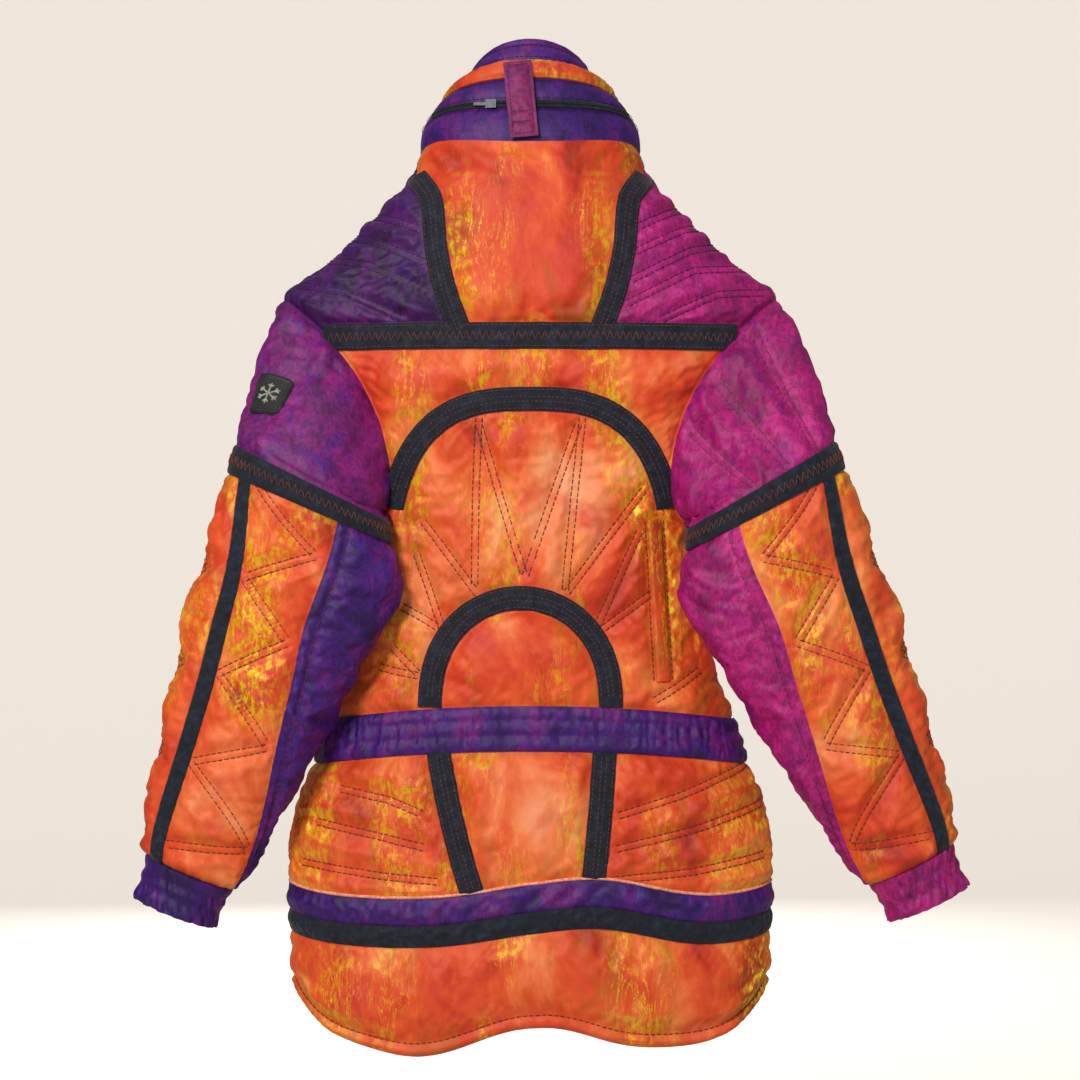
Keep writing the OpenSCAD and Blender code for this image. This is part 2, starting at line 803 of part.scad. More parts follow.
// Gathered cuff with a frilled edge
module cuff(side, shade) {
    pleats = 12;
    frill = 2.5;
    at = function(u, v, d)
        let (
            f = 360 * u,
            c = lerp(cuff_low, cuff_z + 1, v),
            lean = sleeve_lean(c),
            wave = frill * (1 - v) * cos(pleats * f),
            w = (cuff_w + 4 * v + wave + d) * cos(f)
        )
        on_side(side, [
            sleeve_x(c) + w * cos(lean),
            sleeve_y(c) + (cuff_w * 0.78 + 4 * v + wave + d) * sin(f),
            c + w * sin(lean)
        ]);
    color(shade) solids([ring(at, 0, -shell_t, 48, 3, side < 0)]);
}

// Moulded rubber badge on the wearer's left sleeve cap
module badge() {
    from = [17, 0.42];
    to = [38, 0.78];
    color(dark) solids([slab(
        function(u, v, d) cap(1, lerp(from[0], to[0], u), lerp(from[1], to[1], v), d),
        3.2, 0.8, 6, 6, true
    )]);
}

back_yoke();
shoulder(1, violet);  // left_shoulder
shoulder(-1, magenta);  // right_shoulder
back_panel();
side_panels();
back_waistband();
back_skirt();
back_hem_band();
back_hem_panel();
yoke_tapes();
arch_tapes();
skirt_tapes();
back_welt();
back_collar();
collar_roll();
collar_top();
collar_zip();
stowed_hood();
hang_loop();
back_lining();
back_wadding();
front(1, orange);  // left_front
front_skirt(1);  // left_front_skirt
front_bands(1);  // left_front_bands
front_tape(1);  // left_front_tape
front_collar(1);  // left_front_collar
front_lining(1);  // left_front_lining
zip(1);  // left_zip
front(-1, orange);  // right_front
front_skirt(-1);  // right_front_skirt
front_bands(-1);  // right_front_bands
front_tape(-1);  // right_front_tape
front_collar(-1);  // right_front_collar
front_lining(-1);  // right_front_lining
zip(-1);  // right_zip
sleeve_cap(1, plum);  // left_sleeve_cap
upper_outer(1);  // left_upper_outer
upper_under(1, violet);  // left_upper_under
upper_tapes(1);  // left_upper_tapes
forearm_outer(1);  // left_forearm_outer
forearm_under(1, violet);  // left_forearm_under
forearm_tape(1);  // left_forearm_tape
cuff(1, violet);  // left_cuff
sleeve_cap(-1, magenta);  // right_sleeve_cap
upper_outer(-1);  // right_upper_outer
upper_under(-1, magenta);  // right_upper_under
upper_tapes(-1);  // right_upper_tapes
forearm_outer(-1);  // right_forearm_outer
forearm_under(-1, magenta);  // right_forearm_under
forearm_tape(-1);  // right_forearm_tape
cuff(-1, magenta);  // right_cuff
storm_flap();
snap_caps();
snap_studs();
main_slider();
main_pull();
collar_slider();
collar_strap();
badge();
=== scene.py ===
"""Looks of the ski jacket: quilted cloth, tapes, stitching, zips and hardware round the CAD frame."""
import math

import bmesh
import bpy
import numpy as np
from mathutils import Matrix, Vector
from mathutils.kdtree import KDTree


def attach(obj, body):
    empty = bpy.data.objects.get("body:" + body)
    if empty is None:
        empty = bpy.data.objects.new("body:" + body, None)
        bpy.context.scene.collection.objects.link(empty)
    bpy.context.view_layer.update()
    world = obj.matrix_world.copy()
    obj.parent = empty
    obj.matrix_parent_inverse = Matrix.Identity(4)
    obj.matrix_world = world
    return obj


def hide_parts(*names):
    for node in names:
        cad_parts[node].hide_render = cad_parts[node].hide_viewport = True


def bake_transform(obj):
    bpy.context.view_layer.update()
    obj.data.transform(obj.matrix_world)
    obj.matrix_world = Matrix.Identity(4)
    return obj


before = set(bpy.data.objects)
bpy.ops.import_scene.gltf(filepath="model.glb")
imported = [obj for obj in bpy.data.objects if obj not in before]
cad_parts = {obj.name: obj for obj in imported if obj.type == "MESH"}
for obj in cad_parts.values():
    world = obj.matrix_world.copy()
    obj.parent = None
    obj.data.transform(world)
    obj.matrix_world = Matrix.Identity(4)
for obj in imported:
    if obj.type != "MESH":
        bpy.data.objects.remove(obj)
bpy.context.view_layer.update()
MM = 0.001

# ---------------------------------------------------------------- pattern, in millimetres
HEM_W, WAIST_W, CHEST_W, FRONT_D = 221, 192, 156, 70
WAIST_Z, WAIST_H, YOKE_Z, TAPE_W = 281, 41, 649, 22
UNDERARM_Z, SHOULDER_Z, SHOULDER_W, SEAM_X = 490, 700, 230, 126
COLLAR_W, COLLAR_TOP_W = 103, 57
SLEEVE_W, SLEEVE_D, RIGHT_SWING, ELBOW_Z = 82, 50, math.radians(4), 330
RING_Z, CUFF_Z, CUFF_LOW, CUFF_W = 529, 168, 134, 37
# Power of the rounded outline of the body: 2 is an ellipse, and more is squarer
SQUARE = 2.3
ZIP_GAP = 6.5
ZIP_Y = 6 - FRONT_D
ROUND = 2 * math.pi


def lerp(a, b, t):
    return a + (b - a) * t


def smooth(t):
    t = np.clip(t, 0, 1)
    return t * t * (3 - 2 * t)


def curve(knots, x):
    """Smooth curve through (x, y) knots, the same one that the CAD source uses."""
    k = np.array(knots, float)
    kx, ky = k[:, 0], k[:, 1]
    last = len(kx) - 1
    low = np.clip(np.arange(last + 1) - 1, 0, last)
    high = np.clip(np.arange(last + 1) + 1, 0, last)
    slope = (ky[high] - ky[low]) / (kx[high] - kx[low])
    x = np.asarray(x, float)
    i = np.clip(np.searchsorted(kx, x, side="right") - 1, 0, last - 1)
    h = kx[i + 1] - kx[i]
    t = np.clip((x - kx[i]) / h, 0, 1)
    bend = t * (1 - t) * (slope[i] * h * (1 - t) - slope[i + 1] * h * t)
    return lerp(ky[i], ky[i + 1], smooth(t)) + bend


def rounded(c, power):
    return np.sign(c) * np.abs(c) ** (2 / power)


def stack(*parts):
    return np.stack(np.broadcast_arrays(*parts), -1).astype(float)


def unit(n):
    return n / np.maximum(np.linalg.norm(n, axis=-1, keepdims=True), 1e-9)


# ---------------------------------------------------------------- body surface
def half_w(z):
    return curve([
        (0, HEM_W - 6), (60, HEM_W), (150, HEM_W + 4), (220, HEM_W - 1), (270, WAIST_W + 8),
        (300, WAIST_W), (345, CHEST_W + 19), (400, CHEST_W + 6), (450, CHEST_W + 1),
        (UNDERARM_Z, CHEST_W), (540, CHEST_W + 12), (600, 192), (660, 216),
        (SHOULDER_Z, SHOULDER_W), (736, 186), (782, 139), (812, 112), (833, COLLAR_W),
        (860, COLLAR_W - 4)], z)


def back_d(z):
    return curve([(0, 72), (150, 76), (300, 66), (450, 64), (600, 66), (700, 68), (838, 70)], z)


def body(a, z):
    depth = np.where(np.sin(a) > 0, back_d(z), FRONT_D)
    return stack(half_w(z) * rounded(np.cos(a), SQUARE), depth * rounded(np.sin(a), SQUARE), z)


def angle_at(x, z):
    share = np.minimum(1, np.abs(x) / half_w(z))
    a = np.arccos(share ** (SQUARE / 2))
    return np.where(np.asarray(x) < 0, math.pi - a, a)


def bump(a, middle, width):
    return np.exp(-(((np.degrees(a) - middle) / width) ** 2))


def hem_line(a):
    return 8 + 20 * bump(a, 92, 14) - 8 * bump(a, 64, 14) + 48 * np.abs(np.cos(a)) ** 8


def tape_line(a):
    return 101 + 19 * bump(a, 101, 20) + 9 * np.abs(np.cos(a)) ** 6


def band_line(a):
    return tape_line(a) + 20


def skirt_line(a):
    return tape_line(a) + 45


def waist_line(a):
    return WAIST_Z - 15 * np.cos(a) ** 2


def waist_top(a):
    return waist_line(a) + WAIST_H


def neck_line(a):
    return 808 + 30 * np.sin(a) + 25 * np.cos(a) ** 2


def armhole_x(z):
    """Half width between the armhole seams, which round out under the arm."""
    rise = np.clip((z - UNDERARM_Z) / (SHOULDER_Z - UNDERARM_Z), 0, 1)
    foot_out, foot_high = 18, 13
    foot = foot_out * np.exp(-np.clip(z - UNDERARM_Z, 0, 200) / foot_high)
    return SEAM_X + foot + (SHOULDER_W - SEAM_X) * rise ** 2.6


def arm_angle(z):
    """Angle of the armhole seam, which ends in the line along the top of the shoulder."""
    return np.where(z < SHOULDER_Z, angle_at(armhole_x(z), z), 0)


def yoke_x(z):
    return curve([(660, 62), (700, 77), (740, 86), (787, 91), (805, 102), (812, 107), (833, 101)], z)


# ---------------------------------------------------------------- collar, t from base to top
STAND_T, ROLL_T, ZIP_T = 0.6, 0.77, 0.35


def collar_half_w(a, t):
    """Half width of the collar, which flares at its base to meet the neck edge of the fronts."""
    flare = (half_w(neck_line(a)) - COLLAR_W) * (1 - np.clip(t / 0.3, 0, 1)) ** 2
    knots = [(0, COLLAR_W), (ZIP_T, 97), (STAND_T, 83), (ROLL_T, 67), (1, COLLAR_TOP_W)]
    return curve(knots, t) + np.maximum(0, flare)


def collar(a, t):
    w = collar_half_w(a, t)
    h = curve([(0, FRONT_D), (STAND_T, 60), (1, 50)], t)
    power = lerp(SQUARE, 2, t)
    z = lerp(neck_line(a), 905 + 36 * np.sin(a), t)
    return stack(w * rounded(np.cos(a), power), h - FRONT_D + h * rounded(np.sin(a), power), z)


# ---------------------------------------------------------------- sleeves, f from outside through the back
def sleeve_x(c):
    return curve([(CUFF_LOW, 326), (CUFF_Z, 313), (191, 305), (235, 289), (327, 255), (381, 235),
                  (450, 208), (RING_Z, 199)], c)


def sleeve_y(c):
    return curve([(CUFF_LOW, 57), (327, 62), (381, 65), (450, 68), (RING_Z, 62)], c)


def sleeve_lean(c):
    return np.radians(curve([(CUFF_LOW, 22), (191, 23), (235, 22), (327, 18), (381, 16), (450, 17),
                             (RING_Z, 27)], c))


def sleeve_hw(c):
    return curve([(CUFF_Z, 49), (191, 57), (235, 65), (327, 78), (381, SLEEVE_W + 4),
                  (450, SLEEVE_W + 10), (RING_Z, SLEEVE_W)], c)


def sleeve_hd(c):
    return curve([(CUFF_Z, 37), (191, 41), (235, 44), (327, 48), (450, SLEEVE_D - 3),
                  (RING_Z, SLEEVE_D)], c)


def under_seam(c):
    return np.radians(curve([(175, 166), (225, 147), (283, 128), (345, 116), (432, 105),
                             (RING_Z, 116)], c))


def stripe_angle(c):
    return np.radians(curve([(CUFF_Z, 46), (280, 54), (400, 53), (RING_Z, 36)], c))


def on_side(side, p):
    """The right sleeve swings out about the shoulder point and is then mirrored."""
    if side > 0:
        return p
    x, z = p[..., 0] - SHOULDER_W, p[..., 2] - SHOULDER_Z
    s, c = math.sin(RIGHT_SWING), math.cos(RIGHT_SWING)
    return stack(-(SHOULDER_W + x * c - z * s), p[..., 1], SHOULDER_Z + x * s + z * c)


def tube(side, f, c, hw, hd):
    lean = sleeve_lean(c)
    w = hw * np.cos(f)
    p = stack(sleeve_x(c) + w * np.cos(lean), sleeve_y(c) + hd * np.sin(f), c + w * np.sin(lean))
    return on_side(side, p)


# Angle from the outside of the sleeve at which the armhole seam turns in under the arm
FOOT = math.radians(125)
# The padding fills the sleeve out to its full size from a surface this far inside
FILL = 5
# Share of the sleeve above the tape round the upper arm
CAP_S = 0.28


def armhole(f):
    g = np.where(f > math.pi, ROUND - f, f)
    sign = np.where(f > math.pi, -1, 1)
    low = UNDERARM_Z + 2
    z = low + (SHOULDER_Z - low) * (1 - np.minimum(1, g / FOOT) ** 1.4)
    under = angle_at(armhole_x(low), low) * (math.pi - g) / (math.pi - FOOT)
    a = np.where(g < FOOT, angle_at(armhole_x(z), z), under)
    return body(sign * a, z)


def sleeve(side, f, s):
    """s is 0 at the armhole, CAP_S at the tape round the upper arm and 1 at the cuff."""
    f, s = np.broadcast_arrays(np.mod(f, ROUND), s)
    v = np.clip(s / CAP_S, 0, 1)[..., None]
    c = lerp(RING_Z, CUFF_Z, np.clip((s - CAP_S) / (1 - CAP_S), 0, 1))
    start = armhole(f)
    start[..., 0] *= side
    p = lerp(start, tube(side, f, c, sleeve_hw(c) - FILL, sleeve_hd(c) - FILL), v)
    swell = 3 * np.sin(math.pi * v[..., 0]) * np.maximum(0, np.cos(f))
    return p + stack(side * swell, 0, swell * 0.4)


def s_at(c):
    return CAP_S + (1 - CAP_S) * (RING_Z - c) / (RING_Z - CUFF_Z)


# ---------------------------------------------------------------- noise
def noise(p, size, seed=0, tall=1.0):
    """Smooth field from -1 to 1 with features of the given size in millimetres, taller by a factor."""
    q = p / (size * np.array([1, 1, tall])) + seed * 17.3
    cell = np.floor(q).astype(np.int64)
    t = smooth(q - cell)
    total = np.zeros(q.shape[:-1])
    for corner in range(8):
        step = np.array([corner & 1, corner >> 1 & 1, corner >> 2 & 1])
        k = cell + step
        h = (k[..., 0] * 73856093) ^ (k[..., 1] * 19349663) ^ (k[..., 2] * 83492791)
        h = (h ^ (h >> 13)) * 1274126177 & 0x7FFFFFFF
        h = ((h ^ (h >> 15)) * 2246822519) & 0x7FFFFFFF
        total += (h % 65536 / 32767.5 - 1) * np.prod(np.where(step, t, 1 - t), -1)
    return total


def crumple(p, seed):
    """Folds of lame cloth: mostly upright ridges, with finer creases on top."""
    broad = noise(p, 46, seed, 1.7)
    ridge = 1 - 2 * np.abs(noise(p, 26, seed + 1, 2.4))
    crease = 1 - 2 * np.abs(noise(p, 11, seed + 2, 1.5))
    return 1.5 * broad + 1.1 * ridge + 0.45 * crease


# ---------------------------------------------------------------- cloth simulation
SIM_FRAMES = 18


def simulate(rest, held, sign, growth, pressure, cap):
    """Blows up and loosens a ring of cloth that is held along its sewing; returns how far it moves."""
    nv, nu = rest.shape[:2]
    at = np.arange(nv * nu).reshape(nv, nu)
    right = np.roll(at, -1, 1)
    quads = np.stack([at[:-1], right[:-1], right[1:], at[1:]], -1).reshape(-1, 4)
    mesh = bpy.data.meshes.new("sim")
    mesh.from_pydata((rest.reshape(-1, 3) * MM).tolist(), [], quads[:, ::sign].tolist())
    obj = link("sim", mesh)
    scene = bpy.context.scene
    group = obj.vertex_groups.new(name="held")
    for i, w in enumerate(held.ravel()):
        if w > 0.02:
            group.add([i], float(w), "REPLACE")
    cloth = obj.modifiers.new("cloth", "CLOTH")
    s = cloth.settings
    s.quality = 4
    s.mass = 0.2
    s.tension_stiffness = 12
    s.compression_stiffness = 12
    s.shear_stiffness = 4
    s.bending_stiffness = 0.1
    s.air_damping = 3
    s.vertex_group_mass = "held"
    s.pin_stiffness = 2
    s.shrink_min = -growth
    s.use_pressure = True
    s.uniform_pressure_force = pressure
    s.effector_weights.gravity = 0
    cloth.collision_settings.use_collision = False
    for step in range(1, SIM_FRAMES + 1):
        scene.frame_set(step)
    graph = bpy.context.evaluated_depsgraph_get()
    moved = np.zeros(nv * nu * 3)
    obj.evaluated_get(graph).data.vertices.foreach_get("co", moved)
    bpy.data.objects.remove(obj)
    scene.frame_set(1)
    shift = moved.reshape(nv, nu, 3) / MM - rest
    length = np.linalg.norm(shift, axis=-1, keepdims=True)
    return shift * np.minimum(1, cap / np.maximum(length, 1e-6))


def cubic(t):
    """Weights of four neighbouring samples at the share t between the middle two."""
    return (
        0.5 * (-t + 2 * t ** 2 - t ** 3), 0.5 * (2 - 5 * t ** 2 + 3 * t ** 3),
        0.5 * (t + 4 * t ** 2 - 3 * t ** 3), 0.5 * (t ** 3 - t ** 2))


def sample(grid, u, v):
    """Smooth value of a ring of points at u (turns) and v (0 to 1)."""
    nv, nu = grid.shape[:2]
    x, y = np.mod(u, 1) * nu, np.clip(v, 0, 1) * (nv - 1)
    i, j = np.floor(x).astype(int), np.minimum(np.floor(y).astype(int), nv - 2)
    total = 0
    for dj, wj in enumerate(cubic(y - j)):
        row = np.clip(j + dj - 1, 0, nv - 1)
        for di, wi in enumerate(cubic(x - i)):
            total = total + (wi * wj)[..., None] * grid[row, (i + di - 1) % nu]
    return total


# ---------------------------------------------------------------- padded cloth
SEWN_STEP = 2.0
# Reach of the padding from a sewn line before it stands at its full height
SWELL_REACH = 13


class Cloth:
    """Padded cloth over a plain surface, where u goes round in turns and v runs from 0 to 1.

    Points are in millimetres. Sewn lines hold the cloth down, and the padding swells between them.
    """

    def __init__(self, shape, seed, sign=1, puff=3.4, crumpled=1.0, calm=None):
        self.shape, self.seed, self.sign, self.calm = shape, seed, sign, calm
        self.puff, self.crumpled = puff, crumpled
        self.sewn, self.tree, self.shift = [], None, None

    def measure(self, u, v):
        """A line with many more points along it, and the length up to each of them."""
        u, v = np.broadcast_arrays(np.asarray(u, float), np.asarray(v, float))
        fine = np.linspace(0, len(u) - 1, 400)
        u, v = (np.interp(fine, np.arange(len(u)), x) for x in (u, v))
        steps = np.linalg.norm(np.diff(self.shape(u, v), axis=0), axis=1)
        return u, v, np.r_[0, np.cumsum(steps)]

    def sew(self, u, v):
        """Holds the cloth down along a line of points."""
        u, v, length = self.measure(u, v)
        along = np.arange(0, length[-1], SEWN_STEP)
        self.sewn.append(self.shape(np.interp(along, length, u), np.interp(along, length, v)))

    def distance(self, p):
        """Distance of each point from the nearest sewn line."""
        if self.tree is None:
            every = np.concatenate(self.sewn)
            self.tree = KDTree(len(every))
            for i, q in enumerate(every):
                self.tree.insert(q, i)
            self.tree.balance()
        find = self.tree.find
        return np.array([find(q)[2] for q in p.reshape(-1, 3)]).reshape(p.shape[:-1])

    def plain(self, u, v):
        """Point of the plain surface, and its outward direction."""
        du, dv = 0.004, 0.002
        across = self.shape(u + du, v) - self.shape(u - du, v)
        up = self.shape(u, v + dv) - self.shape(u, v - dv)
        return self.shape(u, v), unit(self.sign * np.cross(across, up))

    def settle(self, nu, nv, growth, pressure, cap, pinned=None):
        """Runs the simulation on a ring of nu by nv points."""
        u, v = np.meshgrid(np.arange(nu) / nu, np.linspace(0, 1, nv))
        rest = self.shape(u, v)
        held = 1 - smooth((self.distance(rest) - 2) / 7)
        held[[0, -1]] = 1
        if pinned is not None:
            held[pinned(u, v)] = 1
        self.shift = simulate(rest, held, self.sign, growth, pressure, cap)

    def bed(self, u, v):
        """The settled surface without padding, which tapes lie on."""
        p, n = self.plain(u, v)
        return p + sample(self.shift, u, v), n, p

    def height(self, p):
        """How far the padded cloth stands off its bed at plain point p."""
        d = self.distance(p)
        loose = smooth((d - 1) / SWELL_REACH)
        puff = self.puff * (1 - np.exp(-d / SWELL_REACH))
        pucker = 0.55 * noise(p, 6.5, self.seed + 5) * np.exp(-((d - 5) / 6) ** 2)
        groove = 1.4 * np.exp(-((d / 2.3) ** 2))
        high = puff + self.crumpled * loose * crumple(p, self.seed) + pucker - groove
        return high if self.calm is None else high * self.calm(p)


# ---------------------------------------------------------------- mesh builders
def painted_light_pool(p):
    """Painted pool of light: how much lighter the orange is drawn in the middle of the back, at its lower
    sides and in the middle of the skirt.
    """
    x, y, z = p[..., 0], p[..., 1], p[..., 2]
    back = 0.13 * np.exp(-((x / 105) ** 2) - ((z - 520) / 75) ** 2)
    side = 0.07 * np.exp(-(((np.abs(x) - 110) / 40) ** 2) - ((z - 365) / 60) ** 2)
    skirt = 0.15 * np.exp(-(((x - 5) / 55) ** 2) - ((z - 215) / 60) ** 2)
    return np.where(y > 0, back + side + skirt, 0.03)


# Places of painted highlight, where the gold thread shines most, as x, its spread, z and its spread:
# on both sides of the back along the folds by the arms and the yoke, on one side only, and on the sleeves
GOLD_SHEEN_BOTH = [(64, 13, 745, 60), (104, 12, 520, 45), (132, 18, 420, 70)]
GOLD_SHEEN_ONE = [
    (-76, 11, 612, 42), (44, 12, 612, 30), (120, 30, 236, 26), (205, 22, 200, 60), (-190, 24, 190, 60),
    (175, 24, 60, 40), (-110, 22, 60, 45), (-205, 16, 60, 50),
]
GOLD_SHEEN_SLEEVES = [(290, 14, 400, 40), (252, 16, 400, 60)]


def streaks(x, z, places):
    return sum(np.exp(-(((x - x0) / wide) ** 2) - ((z - z0) / tall) ** 2) for x0, wide, z0, tall in places)


def gold_with_painted_sheen(p):
    """Share of gold in the orange cloth, from 0 to 1: gold thread, drawn as painted highlight where it
    shines.
    """
    x, y, z = p[..., 0], p[..., 1], p[..., 2]
    w = np.abs(x)
    back = streaks(w, z, GOLD_SHEEN_BOTH) + streaks(x, z, GOLD_SHEEN_ONE)
    return np.clip(np.where(y > 0, back, 0.25) + streaks(w, z, GOLD_SHEEN_SLEEVES), 0, 1)


def link(name, data):
    """New object in the scene."""
    obj = bpy.data.objects.new(name, data)
    bpy.context.scene.collection.objects.link(obj)
    return obj


def finish_mesh(name, verts, faces, smooth_faces, mat, loops=None, rest=None, slope=None):
    """Makes an object of a mesh in millimetres, with its shader attributes."""
    mesh = bpy.data.meshes.new(name)
    mesh.from_pydata((verts * MM).tolist(), [], faces)
    mesh.polygons.foreach_set("use_smooth", smooth_faces)
    rest = verts if rest is None else rest
    slope = np.zeros(len(verts)) if slope is None else slope
    # One shader attribute is a painted pool of light on the orange.
    # One shader attribute is the share of gold: gold thread, and painted highlight where it shines.
    attributes = {"rest": rest, "tone": painted_light_pool(rest), "gold_sheen_share": gold_with_painted_sheen(rest), "slope": slope}
    for key, values in attributes.items():
        kind, field = ("FLOAT_VECTOR", "vector") if values.ndim == 2 else ("FLOAT", "value")
        place = mesh.attributes.new(key, kind, "POINT")
        place.data.foreach_set(field, values.astype(np.float32).ravel())
    if loops is not None:
        mesh.normals_split_custom_set(loops.tolist())
    mesh.materials.append(mat)
    mesh.update()
    return link(name, mesh)


def across_normals(p, sign):
    """Directions square to a grid of points, with the outer rows and columns left off."""
    return unit(sign * np.cross(p[1:-1, 2:] - p[1:-1, :-2], p[2:, 1:-1] - p[:-2, 1:-1]))


def slab(name, outer, outer_n, inner, inner_n, sign, mat, rest, slope, closed=False):
    """Closed solid between two grids of points; a closed one goes all the way round."""
    if closed:
        outer, outer_n, inner, inner_n, rest, slope = (
            x[:, :-1] for x in (outer, outer_n, inner, inner_n, rest, slope))
    nv, nu = outer.shape[:2]
    at = np.arange(nv * nu).reshape(nv, nu)
    right = np.roll(at, -1, 1) if closed else at[:, 1:]
    left = at if closed else at[:, :-1]
    top = np.stack([left[:-1], right[:-1], right[1:], left[1:]], -1).reshape(-1, 4)[:, ::sign]
    count = nv * nu
    walls = []
    for row, turn in ((0, 1), (-1, -1)):
        a, b = left[row].ravel(), right[row].ravel()
        walls.append(np.stack([b, a, a + count, b + count], -1)[:, ::turn])
    if not closed:
        for column, turn in ((0, -1), (-1, 1)):
            a, b = at[:-1, column], at[1:, column]
            walls.append(np.stack([b, a, a + count, b + count], -1)[:, ::turn])
    walls = np.concatenate(walls)[:, ::sign]
    verts = np.concatenate([outer.reshape(-1, 3), inner.reshape(-1, 3)])
    n = np.concatenate([outer_n.reshape(-1, 3), -inner_n.reshape(-1, 3)])
    q = verts[walls]
    flat = unit(np.cross(q[:, 2] - q[:, 0], q[:, 3] - q[:, 1]))
    faces = np.concatenate([top, top[:, ::-1] + count, walls])
    smooth_loops = n[faces[:len(top) * 2].ravel()]
    loops = np.concatenate([smooth_loops, np.repeat(flat, 4, 0)])
    shades = np.arange(len(faces)) < len(top) * 2
    return finish_mesh(
        name, verts, faces.tolist(), shades, mat, loops,
        np.concatenate([rest.reshape(-1, 3)] * 2), np.concatenate([slope.ravel()] * 2))


def sheet(
        name, cloth, pattern, mat, relief=None, thick=6.0, cell=2.5, closed=False, low_edge=0,
        high_edge=0):
    """Closed panel of cloth. pattern turns s and t (0 to 1) into u and v, and relief gives its height.

    low_edge and high_edge are the radii by which the edges at t = 0 and t = 1 curl in.
    """
    cells = cell if isinstance(cell, tuple) else (cell, cell)
    line = np.linspace(0, 1, 41)
    half = np.full(41, 0.5)
    counts = []
    for s, t, size in ((line, half, cells[0]), (half, line, cells[1])):
        p = cloth.shape(*pattern(s, t))
        counts.append(max(3, round(np.linalg.norm(np.diff(p, axis=0), axis=1).sum() / size)))
    nu, nv = counts
    s, t = np.meshgrid((np.arange(nu + 3) - 1) / nu, (np.arange(nv + 3) - 1) / nv)
    u, v = pattern(s, t)
    bed, n, p = cloth.bed(u, v)
    high = cloth.height(p) if relief is None else relief(s, t, p)
    for radius, from_edge in ((low_edge, t * nv * cells[1]), (high_edge, (1 - t) * nv * cells[1])):
        if radius:
            high = high - radius * (1 - np.sqrt(1 - np.clip(1 - from_edge / radius, 0, 1) ** 2))
    outer = bed + n * high[..., None]
    outer_n = across_normals(outer, cloth.sign)
    core = (slice(1, -1), slice(1, -1))
    slope = 1 - (outer_n * n[core]).sum(-1)
    depth = thick(p)[..., None] if callable(thick) else thick
    inner = (bed - n * depth)[core]
    return slab(name, outer[core], outer_n, inner, n[core], cloth.sign, mat, p[core], slope, closed)


def follow(obj, how, slot=None, *nodes):
    """The piece rides on one body; given two bodies and a line, it is left where it is. It stands for the
    named CAD nodes, if any.
    """
    if isinstance(how, str):
        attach(obj, how)
    else:
        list(how)
        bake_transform(obj)
    named = [node for node in nodes if node]
    if named:
        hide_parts(*named)
    return obj


def panel(name, cloth, pattern, mat, how, slot=None, *nodes, **shape):
    """A sheet handed to follow; shape holds the other arguments of sheet."""
    return follow(sheet(name, cloth, pattern, mat, **shape), how, slot, *nodes)


def rods(name, a, b, n, radius, mat, how):
    """Short round threads from points a to points b, whose ends dip into the cloth along n."""
    sides = 6
    # Share of the length, share of the radius, and lift along n
    stations = ((0, 0.45, -0.35), (0.18, 1, 0.1), (0.82, 1, 0.1), (1, 0.45, -0.35))
    along = b - a
    side = unit(np.cross(n, along))
    angles = np.arange(sides) * ROUND / sides
    rings = []
    for share, wide, lift in stations:
        centre = a + along * share + n * lift
        for g in angles:
            rings.append(centre + radius * wide * (math.cos(g) * side + math.sin(g) * n))
    verts = np.stack(rings, 1)
    shape = []
    for k in range(len(stations) - 1):
        for i in range(sides):
            j = (i + 1) % sides
            shape.append((k * sides + i, k * sides + sides + i, k * sides + sides + j, k * sides + j))
    last = (len(stations) - 1) * sides
    ends = [tuple(range(sides)), tuple(range(last + sides - 1, last - 1, -1))]
    per = len(stations) * sides
    faces = [tuple(c + k * per for c in f) for k in range(len(a)) for f in shape + ends]
    shades = [True] * len(shape) + [False] * 2
    return follow(finish_mesh(name, verts.reshape(-1, 3), faces, shades * len(a), mat), how)


FINE_THREAD = 0.36


class Thread:
    """Collects running stitches on one cloth, to be built as one piece for each body."""

    def __init__(self):
        self.a, self.b, self.n = [], [], []

    def run(self, cloth, u, v, lift=None, dash=4.6, gap=1.1):
        """Running stitch along a line, in the padded cloth or at a height above its bed."""
        u, v, length = cloth.measure(u, v)
        start = np.arange(gap, length[-1] - dash, dash + gap)
        for ends, shift in ((self.a, 0), (self.b, dash)):
            uu, vv = (np.interp(start + shift, length, x) for x in (u, v))
            q, n, plain = cloth.bed(uu, vv)
            high = cloth.height(plain) + 0.8 if lift is None else np.full(len(q), lift)
            ends.append(q + n * high[:, None])
        self.n.append(n)

    def zigzag(self, cloth, u, v, lift):
        """Straight stitches from each point of a line to the next."""
        q, n, _ = cloth.bed(np.asarray(u, float), np.asarray(v, float))
        q = q + n * lift
        self.a.append(q[:-1])
        self.b.append(q[1:])
        self.n.append(n[:-1])

    def make(self, name, mat, how, radius=0.42):
        """Builds the stitches as one piece."""
        a, b, n = (np.concatenate(x) for x in (self.a, self.b, self.n))
        return rods(name, a, b, n, radius, mat, how)


